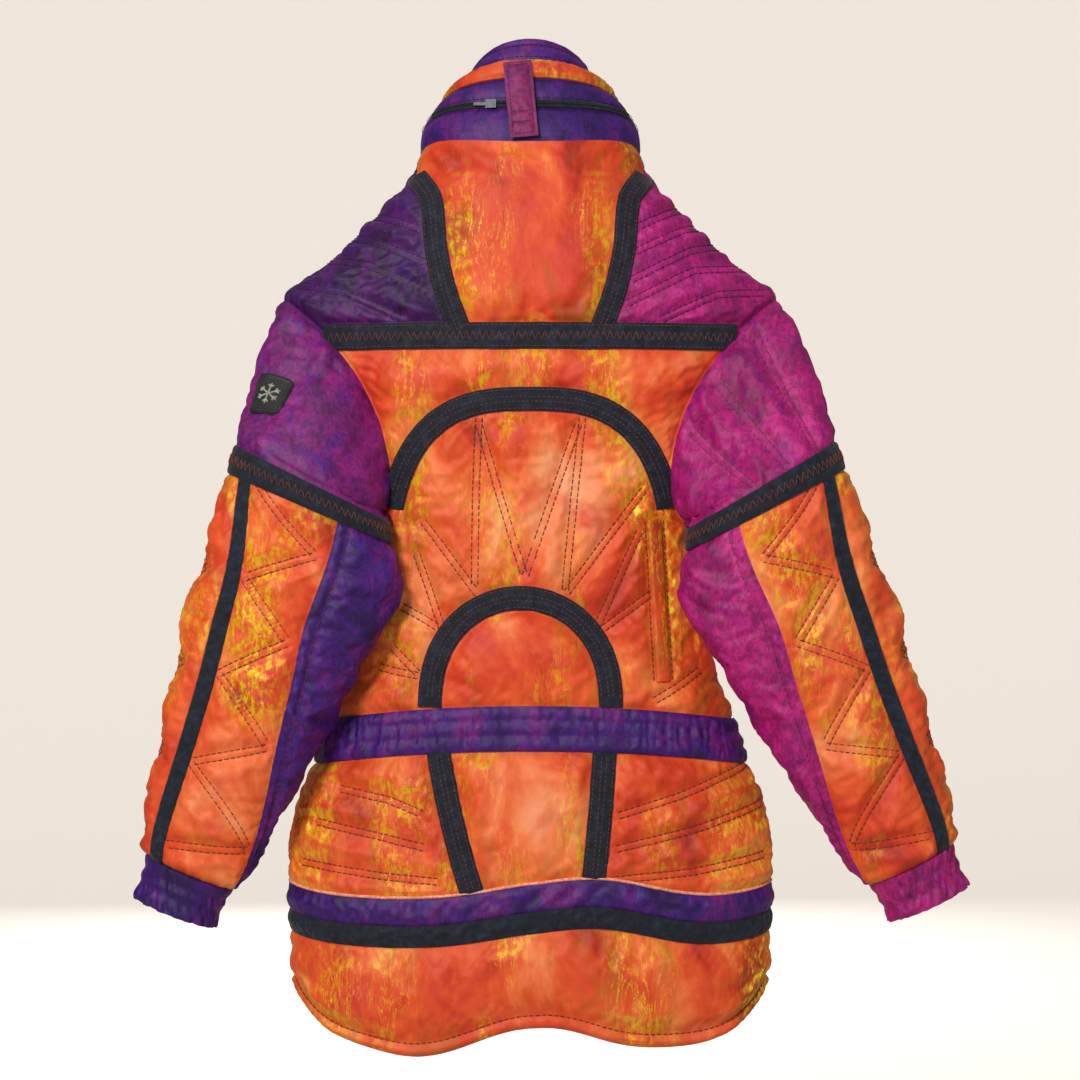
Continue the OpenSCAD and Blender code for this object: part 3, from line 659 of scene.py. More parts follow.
# ---------------------------------------------------------------- materials
class Graph:
    """Short way to write a shader: each call adds a node and returns one of its outputs."""

    def __init__(self, name, on_cad=False):
        self.mat = bpy.data.materials.new(name)
        self.mat.use_nodes = True
        self.tree = self.mat.node_tree
        self.shader = self.tree.nodes["Principled BSDF"]
        self.rest = self.attribute("rest", "Vector")
        if on_cad:
            place = self.tree.nodes.new("ShaderNodeVectorMath")
            place.operation = "SCALE"
            self.put(place.inputs[0], self.tree.nodes.new("ShaderNodeTexCoord").outputs["Object"])
            place.inputs["Scale"].default_value = 1 / MM
            self.rest = place.outputs[0]
        self.slope = self.attribute("slope")
        # Painted pool of light on the orange.
        self.tone = self.attribute("tone")
        # Share of gold: gold thread, and painted highlight where it shines.
        self.gold_sheen_share = self.attribute("gold_sheen_share")

    def attribute(self, name, output="Fac"):
        n = self.tree.nodes.new("ShaderNodeAttribute")
        n.attribute_name = name
        return n.outputs[output]

    def put(self, socket, value):
        if isinstance(value, bpy.types.NodeSocket):
            self.tree.links.new(value, socket)
        elif isinstance(value, tuple) and len(value) == 3 and socket.type == "RGBA":
            socket.default_value = (*value, 1)
        else:
            socket.default_value = value

    def math(self, operation, *values):
        n = self.tree.nodes.new("ShaderNodeMath")
        n.operation = operation
        for socket, value in zip(n.inputs, values):
            self.put(socket, value)
        return n.outputs[0]

    def place(self, size, tall=1, shift=0):
        """Rest position counted in features of the given size in millimetres, taller by a factor."""
        n = self.tree.nodes.new("ShaderNodeMapping")
        self.put(n.inputs["Vector"], self.rest)
        n.inputs["Scale"].default_value = [1 / (size * k) for k in (1, 1, tall)]
        n.inputs["Location"].default_value = (shift, shift * 0.7, shift * 1.3)
        return n.outputs[0]

    def noise(self, size, tall=1, shift=0, detail=3, rough=0.55, twist=0):
        n = self.tree.nodes.new("ShaderNodeTexNoise")
        self.put(n.inputs["Vector"], self.place(size, tall, shift))
        n.inputs["Scale"].default_value = 1
        n.inputs["Detail"].default_value = detail
        n.inputs["Roughness"].default_value = rough
        n.inputs["Distortion"].default_value = twist
        return n.outputs["Fac"]

    def wave(self, size, direction, twist=0):
        """Bands of the given width; the node makes ten of them in a length of pi."""
        n = self.tree.nodes.new("ShaderNodeTexWave")
        n.bands_direction = direction
        self.put(n.inputs["Vector"], self.place(size * 3.18))
        n.inputs["Scale"].default_value = 1
        n.inputs["Distortion"].default_value = twist
        return n.outputs["Fac"]

    def ramp(self, value, *stops):
        """Colours, or greys, at places along a value."""
        n = self.tree.nodes.new("ShaderNodeValToRGB")
        self.put(n.inputs[0], value)
        points = n.color_ramp.elements
        while len(points) < len(stops):
            points.new(0.5)
        for point, (at, colour) in zip(points, stops):
            point.position = at
            colour = colour if isinstance(colour, tuple) else (colour,) * 3
            point.color = (*colour, 1)
        return n.outputs[0]

    def mix(self, share, a, b, kind="MIX"):
        n = self.tree.nodes.new("ShaderNodeMix")
        n.data_type = "RGBA"
        n.blend_type = kind
        self.put(n.inputs[0], share)
        # Inputs 6 and 7 and output 2 are the colours; the others are of other types
        self.put(n.inputs[6], a)
        self.put(n.inputs[7], b)
        return n.outputs[2]

    def bump(self, height, depth, below=None):
        """Bump whose height is in millimetres."""
        n = self.tree.nodes.new("ShaderNodeBump")
        n.inputs["Strength"].default_value = 1
        n.inputs["Distance"].default_value = depth * MM
        self.put(n.inputs["Height"], height)
        if below is not None:
            self.put(n.inputs["Normal"], below)
        return n.outputs[0]

    def blotch(self, low, high, *look, peak=1.0):
        """Patches of noise that fade in between two of its levels."""
        return self.ramp(self.noise(*look), (low, 0.0), (high, peak))

    def weave(self, size, below):
        """Bump of a plain weave over a coarser bump."""
        return self.bump(self.math("ADD", self.wave(size, "X"), self.wave(size, "Z")), 0.03, below)

    def done(self, **inputs):
        for name, value in inputs.items():
            self.put(self.shader.inputs[name.replace("_", " ")], value)
        return self.mat


def rgb(code):
    """Linear colour of a six-digit sRGB code."""
    parts = [int(code[i:i + 2], 16) / 255 for i in (0, 2, 4)]
    return tuple(c / 12.92 if c < 0.04045 else ((c + 0.055) / 1.055) ** 2.4 for c in parts)


def orange_lame(name="orange_lame", bright=0.0):
    """Hand-dyed orange cloth shot with gold thread, whose shine is painted in as highlight: streaks on
    fold slopes, at given places and at glancing view.
    """
    g = Graph(name)
    cloud = g.noise(62, 1.5, 3, 4, 0.62, 0.5)
    # The painted pool of light lifts the colour in the middle of the back and of the skirt.
    cloud = g.math("ADD", g.math("ADD", cloud, bright), g.tone)
    dye_with_painted_light = g.ramp(
        cloud, (0.30, rgb("AC2008")), (0.42, rgb("D83A14")), (0.53, rgb("EC561F")),
        (0.64, rgb("F87C42")), (0.78, rgb("FFA676")))
    pink = g.blotch(0.55, 0.72, 38, 1.2, 11, 3, 0.6, 0.3)
    dye_with_painted_light = g.mix(g.math("MULTIPLY", pink, 0.6), dye_with_painted_light, rgb("DE3A3A"))
    ochre = g.blotch(0.54, 0.72, 30, 2.6, 23, 3, 0.6, 0.4)
    dye_with_painted_light = g.mix(g.math("MULTIPLY", ochre, 0.6), dye_with_painted_light, rgb("B4660E"))
    patch = g.blotch(0.50, 0.66, 50, 2.4, 41, 2, 0.5, peak=0.7)
    # Painted highlight: the given places of shine add to the random patches of gold.
    patch = g.math("MINIMUM", g.math("MULTIPLY_ADD", g.gold_sheen_share, 0.9, patch), 1.0)
    vein = g.noise(12, 5.5, 57, 5, 0.72, 1.4)
    vein = g.ramp(g.math("ABSOLUTE", g.math("SUBTRACT", vein, 0.5)), (0.0, 1.0), (0.028, 0.0))
    fleck = g.blotch(0.44, 0.58, 4.5, 2.2, 71, 3, 0.7)
    # Painted highlight: gold on the slopes of folds and along thin veins, within the patches.
    fold = g.ramp(g.slope, (0.02, 0.0), (0.12, 1.0))
    gold_and_sheen = g.math("MULTIPLY", g.math("MAXIMUM", vein, g.math("MULTIPLY", fold, 0.8)), patch)
    gold_and_sheen = g.math("MULTIPLY", gold_and_sheen, g.math("MULTIPLY_ADD", fleck, 0.85, 0.15))
    # Painted sheen: more gold where the cloth is seen at a glancing angle.
    facing = g.tree.nodes.new("ShaderNodeLayerWeight")
    facing.inputs[0].default_value = 0.5
    edge = g.ramp(facing.outputs["Facing"], (0.35, 0.0), (0.95, 1.0))
    painted_grazing_sheen = g.math("MULTIPLY", g.math("MULTIPLY", edge, patch), 0.3)
    gold_and_sheen = g.math("MINIMUM", g.math("ADD", gold_and_sheen, painted_grazing_sheen), 1.0)
    colour = g.mix(gold_and_sheen, dye_with_painted_light, rgb("FFE618"))
    weave = g.weave(0.55, g.bump(g.noise(4.2, 1.6, 5, 4, 0.65), 0.55))
    return g.done(
        Base_Color=colour, Metallic=g.math("MULTIPLY", gold_and_sheen, 0.3),
        Roughness=g.ramp(gold_and_sheen, (0.0, 0.52), (1.0, 0.32)), Normal=weave,
        Sheen_Weight=0.25, Sheen_Roughness=0.4, Sheen_Tint=rgb("FFC060"),
        Specular_IOR_Level=0.45)


def mottled(name, deep, middle, light, cool, cool_share=0.5):
    """Hand-dyed satin in blotches, with small leafy figures woven in."""
    g = Graph(name)
    cloud = g.noise(34, 1.3, 7, 4, 0.65, 0.6)
    colour = g.ramp(cloud, (0.34, rgb(deep)), (0.5, rgb(middle)), (0.68, rgb(light)))
    cold = g.blotch(0.52, 0.70, 22, 1.4, 19, 3, 0.6, 0.8)
    colour = g.mix(g.math("MULTIPLY", cold, cool_share), colour, rgb(cool))
    figure = g.noise(8, 1.6, 31, 3, 0.6, 2.2)
    figure = g.ramp(figure, (0.46, 0.72), (0.5, 1.0), (0.58, 1.16))
    colour = g.mix(1.0, colour, figure, "MULTIPLY")
    weave = g.weave(0.5, g.bump(g.noise(5, 1.5, 5, 4, 0.6), 0.6))
    return g.done(
        Base_Color=colour, Roughness=0.5, Normal=weave, Specular_IOR_Level=0.4,
        Sheen_Weight=0.2, Sheen_Roughness=0.45, Sheen_Tint=rgb(light))


def ribbed_tape():
    """Navy grosgrain tape with fine ribs and worn lighter patches."""
    g = Graph("navy_tape")
    rib = g.math("MAXIMUM", g.wave(1.5, "X", 0.3), g.wave(1.5, "Z", 0.3))
    worn = g.noise(7, 1, 13, 4, 0.7)
    colour = g.ramp(worn, (0.38, rgb("0A101C")), (0.54, rgb("141D2C")), (0.74, rgb("24324A")))
    return g.done(
        Base_Color=colour, Roughness=0.72, Specular_IOR_Level=0.3, Sheen_Weight=0.15,
        Normal=g.bump(g.noise(3, 1, 3, 3, 0.6), 0.35, g.bump(rib, 0.16)))


def taffeta():
    """Plum lining cloth with a faint warp and soft creases."""
    g = Graph("plum_taffeta")
    shade = g.noise(40, 2, 9, 3, 0.5)
    colour = g.ramp(shade, (0.35, rgb("4A1248")), (0.65, rgb("6E2468")))
    weave = g.weave(0.6, g.bump(g.noise(9, 2, 15, 3, 0.6), 0.8))
    return g.done(Base_Color=colour, Roughness=0.42, Normal=weave, Specular_IOR_Level=0.5)


def thread_cloth(name, dark, light):
    """Twisted thread."""
    g = Graph(name)
    colour = g.ramp(g.noise(2.5, 1, 2, 2), (0.4, rgb(dark)), (0.6, rgb(light)))
    return g.done(Base_Color=colour, Roughness=0.6, Normal=g.bump(g.wave(0.35, "DIAGONAL"), 0.05))


def nylon(name, dark, light, rough=0.42, on_cad=False):
    """Moulded or braided nylon and rubber with a fine grain."""
    g = Graph(name, on_cad)
    colour = g.ramp(g.noise(6, 1, 4, 4, 0.7), (0.35, rgb(dark)), (0.7, rgb(light)))
    braid = g.math("MAXIMUM", g.wave(1.1, "DIAGONAL"), g.noise(0.8, 1, 6, 3))
    return g.done(
        Base_Color=colour, Roughness=rough, Normal=g.bump(braid, 0.08), Specular_IOR_Level=0.45)


def steel(name, dark, light):
    """Satin metal, rubbed brighter in places."""
    g = Graph(name, on_cad=True)
    rub = g.noise(1.6, 1, 5, 4, 0.7)
    colour = g.ramp(rub, (0.35, rgb(dark)), (0.7, rgb(light)))
    return g.done(
        Base_Color=colour, Metallic=1.0, Roughness=g.ramp(rub, (0.3, 0.26), (0.8, 0.42)),
        Normal=g.bump(rub, 0.03))


ORANGE = orange_lame()
ORANGE_DEEP = orange_lame("orange_lame_deep", -0.07)
ORANGE_RED = orange_lame("orange_lame_red", -0.12)
VIOLET = mottled("violet_satin", "26064E", "3E0A72", "701476", "301488", 0.3)
VIOLET_DARK = mottled("violet_shoulder", "2A0640", "440A5C", "64146E", "341078", 0.55)
PLUM = mottled("plum_satin", "500A56", "76126E", "94187E", "42188A", 0.6)
MAGENTA = mottled("magenta_satin", "840A5C", "AA1072", "C42084", "7A1080", 0.5)
MAGENTA_DEEP = mottled("strap_satin", "641048", "861C60", "A02C78", "5A1470", 0.4)
NAVY = ribbed_tape()
LINING = taffeta()
OLIVE_THREAD = thread_cloth("olive_thread", "4A2A14", "6E4420")
BROWN_THREAD = thread_cloth("brown_thread", "5A2C24", "7A4034")
DARK_THREAD = thread_cloth("plum_thread", "3A0A3C", "541452")
PINK_PIPING = thread_cloth("pink_piping", "E88A6A", "FFB49A")
NYLON = nylon("black_nylon", "0B0B10", "1C1C24")
RUBBER = nylon("black_rubber", "121214", "26262A", 0.6)
PALE_RUBBER = nylon("pale_rubber", "8E8C80", "B4B2A4", 0.5)
METAL = steel("satin_metal", "6A6A70", "A4A4A8")
DARK_METAL = steel("dark_metal", "1E1E24", "3C3C44")
CORD = nylon("navy_cord", "141C30", "26324A", 0.6, on_cad=True)


# ---------------------------------------------------------------- how pieces move
# A slanting line on each front, which runs from the neck to the side of the hem
FOLD_TOP = np.array([85, -FRONT_D, 830]) * MM
FOLD_RUN, FOLD_DEEP, FOLD_TILT = 130 / 830, 36 / 830, math.radians(40)
FOLD_FROM, FOLD_TO = -16 * MM, 44 * MM
# Direction out along the arm from the shoulder point, and two distances along it
ARM_OUT, ARM_FROM, ARM_TO = (0.896, 0, -0.444), 28 * MM, 88 * MM
ELBOW_LONG = 60
SIDES = {"left": 1, "right": -1}
NAMES = {1: "left", -1: "right"}


def fold_blend(side):
    c, s = math.cos(FOLD_TILT), math.sin(FOLD_TILT)
    gradient = np.array([-side * c, -s, -FOLD_RUN * c - FOLD_DEEP * s])
    step = gradient / (gradient @ gradient)
    top = FOLD_TOP * (side, 1, 1)
    start, end = (tuple(top + step * distance) for distance in (FOLD_FROM, FOLD_TO))
    return "jacket_body", f"{NAMES[side]}_front_half", start, end


def shoulder_blend(side):
    out = np.array(ARM_OUT) * (side, 1, 1)
    pivot = np.array([SHOULDER_W * side, 0, SHOULDER_Z]) * MM
    start, end = (tuple(pivot + out * distance) for distance in (ARM_FROM, ARM_TO))
    return "jacket_body", f"{NAMES[side]}_upper_sleeve", start, end


def elbow_blend(side):
    lean = float(sleeve_lean(ELBOW_Z))
    down = stack(math.sin(lean), 0, -math.cos(lean)) * ELBOW_LONG
    centre = stack(float(sleeve_x(ELBOW_Z)), float(sleeve_y(ELBOW_Z)), ELBOW_Z)
    start, end = (on_side(side, p) * MM for p in (centre, centre + down))
    name = NAMES[side]
    return f"{name}_upper_sleeve", f"{name}_lower_sleeve", tuple(start), tuple(end)


# Side of the back and of both fronts, and the body, or two bodies and a line, handed to follow for each
HALVES = {"back": (0, "jacket_body"), "left": (1, fold_blend(1)), "right": (-1, fold_blend(-1))}


# ---------------------------------------------------------------- torso cloth
def v_at(a, z):
    return (z - hem_line(a)) / (neck_line(a) - hem_line(a))


def torso_shape(u, v):
    a = u * ROUND
    return body(a, lerp(hem_line(a), neck_line(a), v))


def calm_shoulders(p):
    """The shoulders are flatter than the rest of the torso."""
    return 1 - 0.45 * smooth((p[..., 2] - 680) / 50)


torso = Cloth(torso_shape, 1, puff=3.2, crumpled=0.9, calm=calm_shoulders)


def at_angle(a, z):
    """Place on the torso, in turns and share of the height, of an angle and a height."""
    a, z = np.broadcast_arrays(np.asarray(a, float), np.asarray(z, float))
    return a / ROUND, v_at(a, z)


def on_back(x, z):
    return at_angle(angle_at(x, z), z)


def on_front(x, z):
    return at_angle(-angle_at(x, z), z)


def offset_line(points, gap):
    """The line of (x, z) points moved sideways by gap."""
    p = np.array(points, float)
    d = unit(np.gradient(p, axis=0))
    return p + gap * np.stack([-d[:, 1], d[:, 0]], 1)


def tape_path(points, width):
    """Lines that hold a tape down: both its edges and three between."""
    return [offset_line(points, g) for g in np.linspace(-width / 2, width / 2, 5)]


T = np.linspace(0, 1, 61)
YOKE_TAPE_Z, YOKE_TAPE_W = YOKE_Z + 12, 24
QUILT_GAP = 6


def swept(c, power):
    return np.sign(c) * np.abs(c) ** power


def small_arch(t):
    x = 9 + 83 * np.cos(math.pi * t)
    return stack(x, 321 + 100 * swept(np.sin(math.pi * t), 0.86))


def wide_arch(t):
    x = 132 * swept(np.cos(math.pi * t), 0.7)
    return stack(x, 440 + 163 * swept(np.sin(math.pi * t), 0.8))


def bow(t):
    return t + 0.35 * t * (1 - t)


def yoke_side(side):
    return lambda t: stack(side * yoke_x(lerp(663, 811, t)), lerp(663, 811, t))


# Share of the wide arch that is left off at each end, by the sleeves
WIDE_END = 0.1
# Path of (x, z) points of each tape on the back, and its width
BACK_TAPES = {
    "yoke_tape": (lambda t: stack(lerp(-190, 190, t), YOKE_TAPE_Z), YOKE_TAPE_W),
    "yoke_left_tape": (yoke_side(1), TAPE_W - 1),
    "yoke_right_tape": (yoke_side(-1), TAPE_W - 1),
    "wide_arch_tape": (lambda t: wide_arch(lerp(WIDE_END, 1 - WIDE_END, t)), TAPE_W),
    "small_arch_tape": (small_arch, TAPE_W),
    "skirt_left_tape": (lambda t: stack(lerp(53, 84, bow(t)), lerp(152.5, 281, t)), TAPE_W),
    "skirt_right_tape": (lambda t: stack(lerp(-58, -68, bow(t)), lerp(165.5, 280, t)), TAPE_W),
}
WELT = np.array([(-122, 344), (-113.5, 493)], float)
WELT_W = 12
FRONT_TAPE_Z = 592

# Pairs of quilting lines on the back, as (x, z) points
SKIRT_QUILTS = [
    [(176, 245), (130, 236), (97, 223)], [(198, 214), (140, 203), (92, 192)],
    [(212, 176), (140, 167), (80, 162)], [(-80, 222), (-140, 240), (-204, 266)],
    [(-78, 192), (-150, 208), (-216, 229)], [(-76, 164), (-150, 170), (-218, 182)],
]
BACK_QUILTS = [
    [(47, 587), (50, 510), (51, 432)], [(-48, 587), (-40, 510), (-32, 428)],
    [(47, 580), (26, 508), (5, 440)], [(5, 440), (-20, 512), (-45, 583)],
    [(99, 492), (72, 456), (48, 424)], [(-105, 521), (-68, 472), (-32, 424)],
    [(105, 462), (92, 426), (80, 390)], [(119, 413), (98, 402), (82, 392)],
    [(-101, 483), (-80, 436), (-60, 392)], [(-113, 426), (-88, 408), (-64, 391)],
    [(127, 375), (112, 360), (100, 348)], [(140, 357), (118, 352), (100, 349)],
    [(-158, 354), (-138, 340), (-112, 325)],
]
SHOULDER_QUILTS = [
    [(-100, 762), (-132, 778), (-150, 786)], [(-96, 738), (-140, 760), (-176, 772)],
    [(-92, 712), (-150, 742), (-200, 752)], [(-88, 690), (-150, 722), (-214, 728)],
    [(-120, 676), (-172, 700), (-218, 704)], [(102, 760), (140, 774), (156, 780)],
    [(96, 728), (150, 752), (188, 762)], [(92, 700), (150, 728), (206, 738)],
    [(118, 676), (172, 702), (216, 712)],
]
FRONT_QUILTS = [
    [(60, 560), (90, 520), (128, 506)], [(34, 470), (62, 452), (90, 436)],
    [(34, 410), (60, 402), (86, 398)], [(34, 360), (58, 352), (84, 350)],
    [(124, 430), (140, 426), (152, 424)], [(116, 376), (140, 372), (160, 370)],
    [(40, 240), (110, 236), (188, 250)], [(40, 205), (120, 200), (204, 214)],
    [(40, 170), (120, 164), (212, 176)], [(60, 700), (110, 676), (170, 640)],
    [(60, 750), (120, 720), (196, 680)], [(40, 650), (80, 632), (120, 616)],
]
HEM_STITCH = 13


def pocket(side):
    """Path of the slanting hand pocket on one front."""
    return lambda t: stack(side * lerp(92, 122, t), lerp(345, 478, t))


def quilt_pairs(lines):
    """Two lines a small gap apart along each of the lines."""
    for line in lines:
        p = np.array(line, float)
        fine = np.linspace(0, len(p) - 1, 40)
        path = stack(*(np.interp(fine, np.arange(len(p)), x) for x in p.T))
        for half in (-QUILT_GAP / 2, QUILT_GAP / 2):
            yield offset_line(path, half)


def welt_path(t):
    return lerp(WELT[0], WELT[1], np.asarray(t)[..., None])


def sew_torso():
    """Every seam, tape edge and quilting line of the body."""
    for path, width in [*BACK_TAPES.values(), (welt_path, WELT_W + 6)]:
        for line in tape_path(path(T), width):
            torso.sew(*on_back(line[:, 0], line[:, 1]))
    whole = np.linspace(-math.pi, math.pi, 241)
    for level in (waist_line, waist_top, skirt_line, band_line, tape_line, neck_line):
        torso.sew(*at_angle(whole, level(whole)))
    for lift in (0, HEM_STITCH):
        torso.sew(*at_angle(whole, hem_line(whole) + lift))
    rise = np.linspace(UNDERARM_Z, SHOULDER_Z - 0.5, 60)
    for side in (1, -1):
        torso.sew(*on_back(side * armhole_x(rise), rise))
        torso.sew(*on_front(side * armhole_x(rise), rise))
        for low, high in ((0.02, v_at(0, UNDERARM_Z)), (v_at(0, SHOULDER_Z), 1)):
            torso.sew([0 if side > 0 else 0.5] * 2, [low, high])
        for edge in side * np.array([ZIP_GAP, 12, 17, 22, 27, 32]):
            torso.sew(*on_front(np.full(60, edge), np.linspace(2, 780, 60)))
        for z in np.linspace(-12, 12, 5) + FRONT_TAPE_Z:
            torso.sew(*on_front(side * np.linspace(7, 143, 20), np.full(20, z)))
        for line in [*quilt_pairs(FRONT_QUILTS), *tape_path(pocket(1)(T), TAPE_W)]:
            torso.sew(*on_front(side * line[:, 0], line[:, 1]))
    for line in quilt_pairs(SKIRT_QUILTS + BACK_QUILTS + SHOULDER_QUILTS):
        torso.sew(*on_back(line[:, 0], line[:, 1]))


def in_armhole(u, v):
    """Points of the torso ring that a sleeve covers, or that the waistband gathers."""
    a = u * ROUND
    z = lerp(hem_line(a), neck_line(a), v)
    x = np.abs(half_w(z) * rounded(np.cos(a), SQUARE))
    band = (z > waist_line(a) - 3) & (z < waist_top(a) + 3)
    return band | ((z > UNDERARM_Z) & (z < SHOULDER_Z) & (x > armhole_x(z) - 3))


sew_torso()
torso.settle(216, 150, growth=0.035, pressure=4.0, cap=5.5, pinned=in_armhole)


# ---------------------------------------------------------------- torso pieces
def level(z):
    return lambda a: np.full_like(a, z)


def zip_edge(z):
    """Distance of the edge of a front from the middle, which is less below the zip."""
    return lerp(1.5, ZIP_GAP, smooth((z - 44) / 10))


def between(side, inner, edge=zip_edge):
    """Angles of the back for side 0, or of one front from its edge, to the angle inner by the side."""
    def limits(z):
        if side == 0:
            return inner(z), math.pi - inner(z)
        if side > 0:
            return -angle_at(edge(z), z), -inner(z)
        return inner(z) - math.pi, angle_at(edge(z), z) - math.pi
    return limits


def patch(low, high, limits):
    """Pattern between two heights, given for an angle, and two angles, given for a height."""
    def pattern(s, t):
        s, t = np.broadcast_arrays(s, t)
        z = np.full(s.shape, 400.0)
        for _ in range(4):
            a = lerp(*limits(z), s)
            z = lerp(low(a), high(a), t)
        return at_angle(a, z)
    return pattern


def as_is(s, t):
    return s + 0 * t, t + 0 * s


def gathers(s, t, p):
    """Elastic waistband: upright gathers, pinched along two rows of elastic."""
    ridge = 1 - 2 * np.abs(noise(p, 5.6, 71, 4.5))
    fine = 1 - 2 * np.abs(noise(p, 3.2, 73, 2.5))
    rows = np.exp(-(((t - 0.34) * 13) ** 2)) + np.exp(-(((t - 0.68) * 13) ** 2))
    swell = 1 - np.abs(2 * t - 1) ** 6
    sag = 0.9 * noise(p, 24, 75)
    return 1.2 + swell * (1.6 + sag + 1.5 * ridge + 0.5 * fine) - 1.3 * rows


def band_relief(s, t, p):
    """Flat band of cloth with a few soft puckers."""
    swell = 1 - np.abs(2 * t - 1) ** 8
    return 0.5 + swell * (1.3 + 0.5 * noise(p, 15, 81, 0.6) + 0.3 * noise(p, 7, 83))


def tape_relief(lift):
    def relief(s, t, p):
        edge = np.abs(2 * np.clip(t, 0, 1) - 1)
        wrinkle = 0.22 * noise(p, 9, 91) + 0.14 * noise(p, 4, 93)
        return lift + 0.5 * (1 - edge ** 2) - 0.9 * edge ** 14 + wrinkle
    return relief


def piping_relief(s, t, p):
    """Half round cord."""
    return 0.4 + 1.5 * np.sqrt(np.maximum(0, 1 - (2 * t - 1) ** 2))


def tape_pattern(path, place, width, facing):
    """Pattern of a tape along a path of (x, z) points; facing is -1 on the back and 1 on the front."""
    def pattern(s, t):
        s, t = np.broadcast_arrays(s, t)
        p = path(s)
        d = unit(path(s + 0.002) - path(s - 0.002))
        off = (t - 0.5) * width * facing
        u, v = place(p[..., 0] - d[..., 1] * off, p[..., 1] + d[..., 0] * off)
        return u, np.minimum(v, 0.998)
    return pattern


BACK_THICK, FRONT_THICK = 7, 8
TAPE_CELL = (2.6, 1.6)
TAPE_LIFT, TAPE_THICK = 1.5, 0.4


def tape(name, cloth, pattern, how, slot="navy", nodes=(), mat=NAVY, lift=TAPE_LIFT, closed=False):
    return panel(
        name, cloth, pattern, mat, how, slot, *nodes, relief=tape_relief(lift), thick=TAPE_THICK,
        cell=TAPE_CELL, closed=closed)


def tucked(z, by=7):
    """Angle of the armhole edge of a body panel, which runs on a little under the sleeve."""
    return np.where(z < SHOULDER_Z, np.maximum(0, angle_at(armhole_x(z) + by, z)), 0)


def yoke_angle(z):
    return angle_at(yoke_x(z), z)


def shoulder_angles(side):
    if side > 0:
        return lambda z: (tucked(z), yoke_angle(z))
    return lambda z: (math.pi - yoke_angle(z), math.pi - tucked(z))


# Cloth and slot of each shoulder
SHOULDER_LOOK = {1: (VIOLET_DARK, "violet"), -1: (MAGENTA, "magenta")}


def make_back():
    how, high = "jacket_body", level(YOKE_TAPE_Z)
    yoke = patch(high, neck_line, between(0, yoke_angle))
    panel("back_yoke_panel", torso, yoke, ORANGE_DEEP, how, "orange", "back_yoke", thick=BACK_THICK)
    for name, side in SIDES.items():
        mat, slot = SHOULDER_LOOK[side]
        shoulder = patch(high, neck_line, shoulder_angles(side))
        panel(
            f"{name}_shoulder_panel", torso, shoulder, mat, how, slot, f"{name}_shoulder",
            thick=BACK_THICK)
    upper = patch(level(UNDERARM_Z), high, between(0, tucked))
    panel("back_upper_panel", torso, upper, ORANGE, how, "orange", "back_panel", thick=BACK_THICK)
    lower = patch(waist_top, level(UNDERARM_Z), between(0, level(0)))
    panel("back_lower_panel", torso, lower, ORANGE, how, "orange", "side_panels", thick=BACK_THICK)


def make_rounds():
    """Bands and skirts, which run across the back and both fronts."""
    for where, (side, how) in HALVES.items():
        back = side == 0
        half = f"{where}_front"
        parts = (
            ("waistband", waist_line, waist_top, VIOLET, "violet", gathers, (1.8, 2.0),
             "back_waistband" if back else f"{half}_bands"),
            ("skirt", skirt_line, waist_line, ORANGE, "orange", None, 2.5,
             "back_skirt" if back else f"{half}_skirt"),
            ("hem_band", band_line, skirt_line, VIOLET, "violet", band_relief, 2.6,
             "back_hem_band" if back else None),
            ("hem_tape", tape_line, band_line, NAVY, "navy", tape_relief(1.1), (2.6, 2.0),
             "skirt_tapes" if back else f"{half}_tape"),
            ("hem", hem_line, tape_line, ORANGE, "orange", None, 2.5,
             "back_hem_panel" if back else None),
        )
        limits = between(side, level(0))
        for name, low, high, mat, slot, relief, cell, node in parts:
            panel(
                f"{where}_{name}", torso, patch(low, high, limits), mat, how, slot, node, relief=relief,
                thick=FRONT_THICK, cell=cell, low_edge=4 if name == "hem" else 0)
        cord = patch(lambda a: skirt_line(a) - 0.6, lambda a: skirt_line(a) + 2.2, limits)
        panel(
            f"{where}_hem_piping", torso, cord, PINK_PIPING, how, "orange", relief=piping_relief,
            thick=0.5, cell=(2.5, 0.7))


def make_back_tapes():
    nodes = {"yoke_tape": ["yoke_tapes"], "wide_arch_tape": ["arch_tapes"]}
    for name, (path, width) in BACK_TAPES.items():
        lift = TAPE_LIFT + (0.5 if name == "yoke_tape" else 0)
        pattern = tape_pattern(path, on_back, width, -1)
        tape(name, torso, pattern, "jacket_body", nodes=nodes.get(name, ()), lift=lift)
    welt = tape_pattern(welt_path, on_back, WELT_W, -1)
    tape("back_welt_strip", torso, welt, "jacket_body", "orange", ["back_welt"], ORANGE_RED, 2.6)


def make_fronts():
    for name, side in SIDES.items():
        how = fold_blend(side)
        inner = between(side, lambda z: tucked(z, 1), level(ZIP_GAP))
        lower = patch(waist_top, level(UNDERARM_Z), between(side, level(0)))
        chest = patch(level(UNDERARM_Z), level(FRONT_TAPE_Z), inner)
        shoulder = patch(level(FRONT_TAPE_Z), neck_line, inner)
        panel(
            f"{name}_front_lower", torso, lower, ORANGE, how, "orange", f"{name}_front",
            thick=FRONT_THICK)
        panel(f"{name}_front_chest", torso, chest, ORANGE, how, "orange", thick=FRONT_THICK)
        mat, slot = SHOULDER_LOOK[side]
        panel(f"{name}_front_shoulder", torso, shoulder, mat, how, slot, thick=FRONT_THICK)
        across = lambda t: stack(side * lerp(ZIP_GAP, 146, t), FRONT_TAPE_Z)
        tape(f"{name}_front_yoke_tape", torso, tape_pattern(across, on_front, YOKE_TAPE_W, 1), how)


# The lining lies this far inside the shell, and stops this far from the zip
LINING_IN, LINING_EDGE = 9.5, 20


def lining_depth(p):
    return 11.5 + 1.1 * noise(p, 30, 61, 2) + 0.5 * noise(p, 13, 63, 2)


def lining_relief(s, t, p):
    return np.full(t.shape, -LINING_IN)


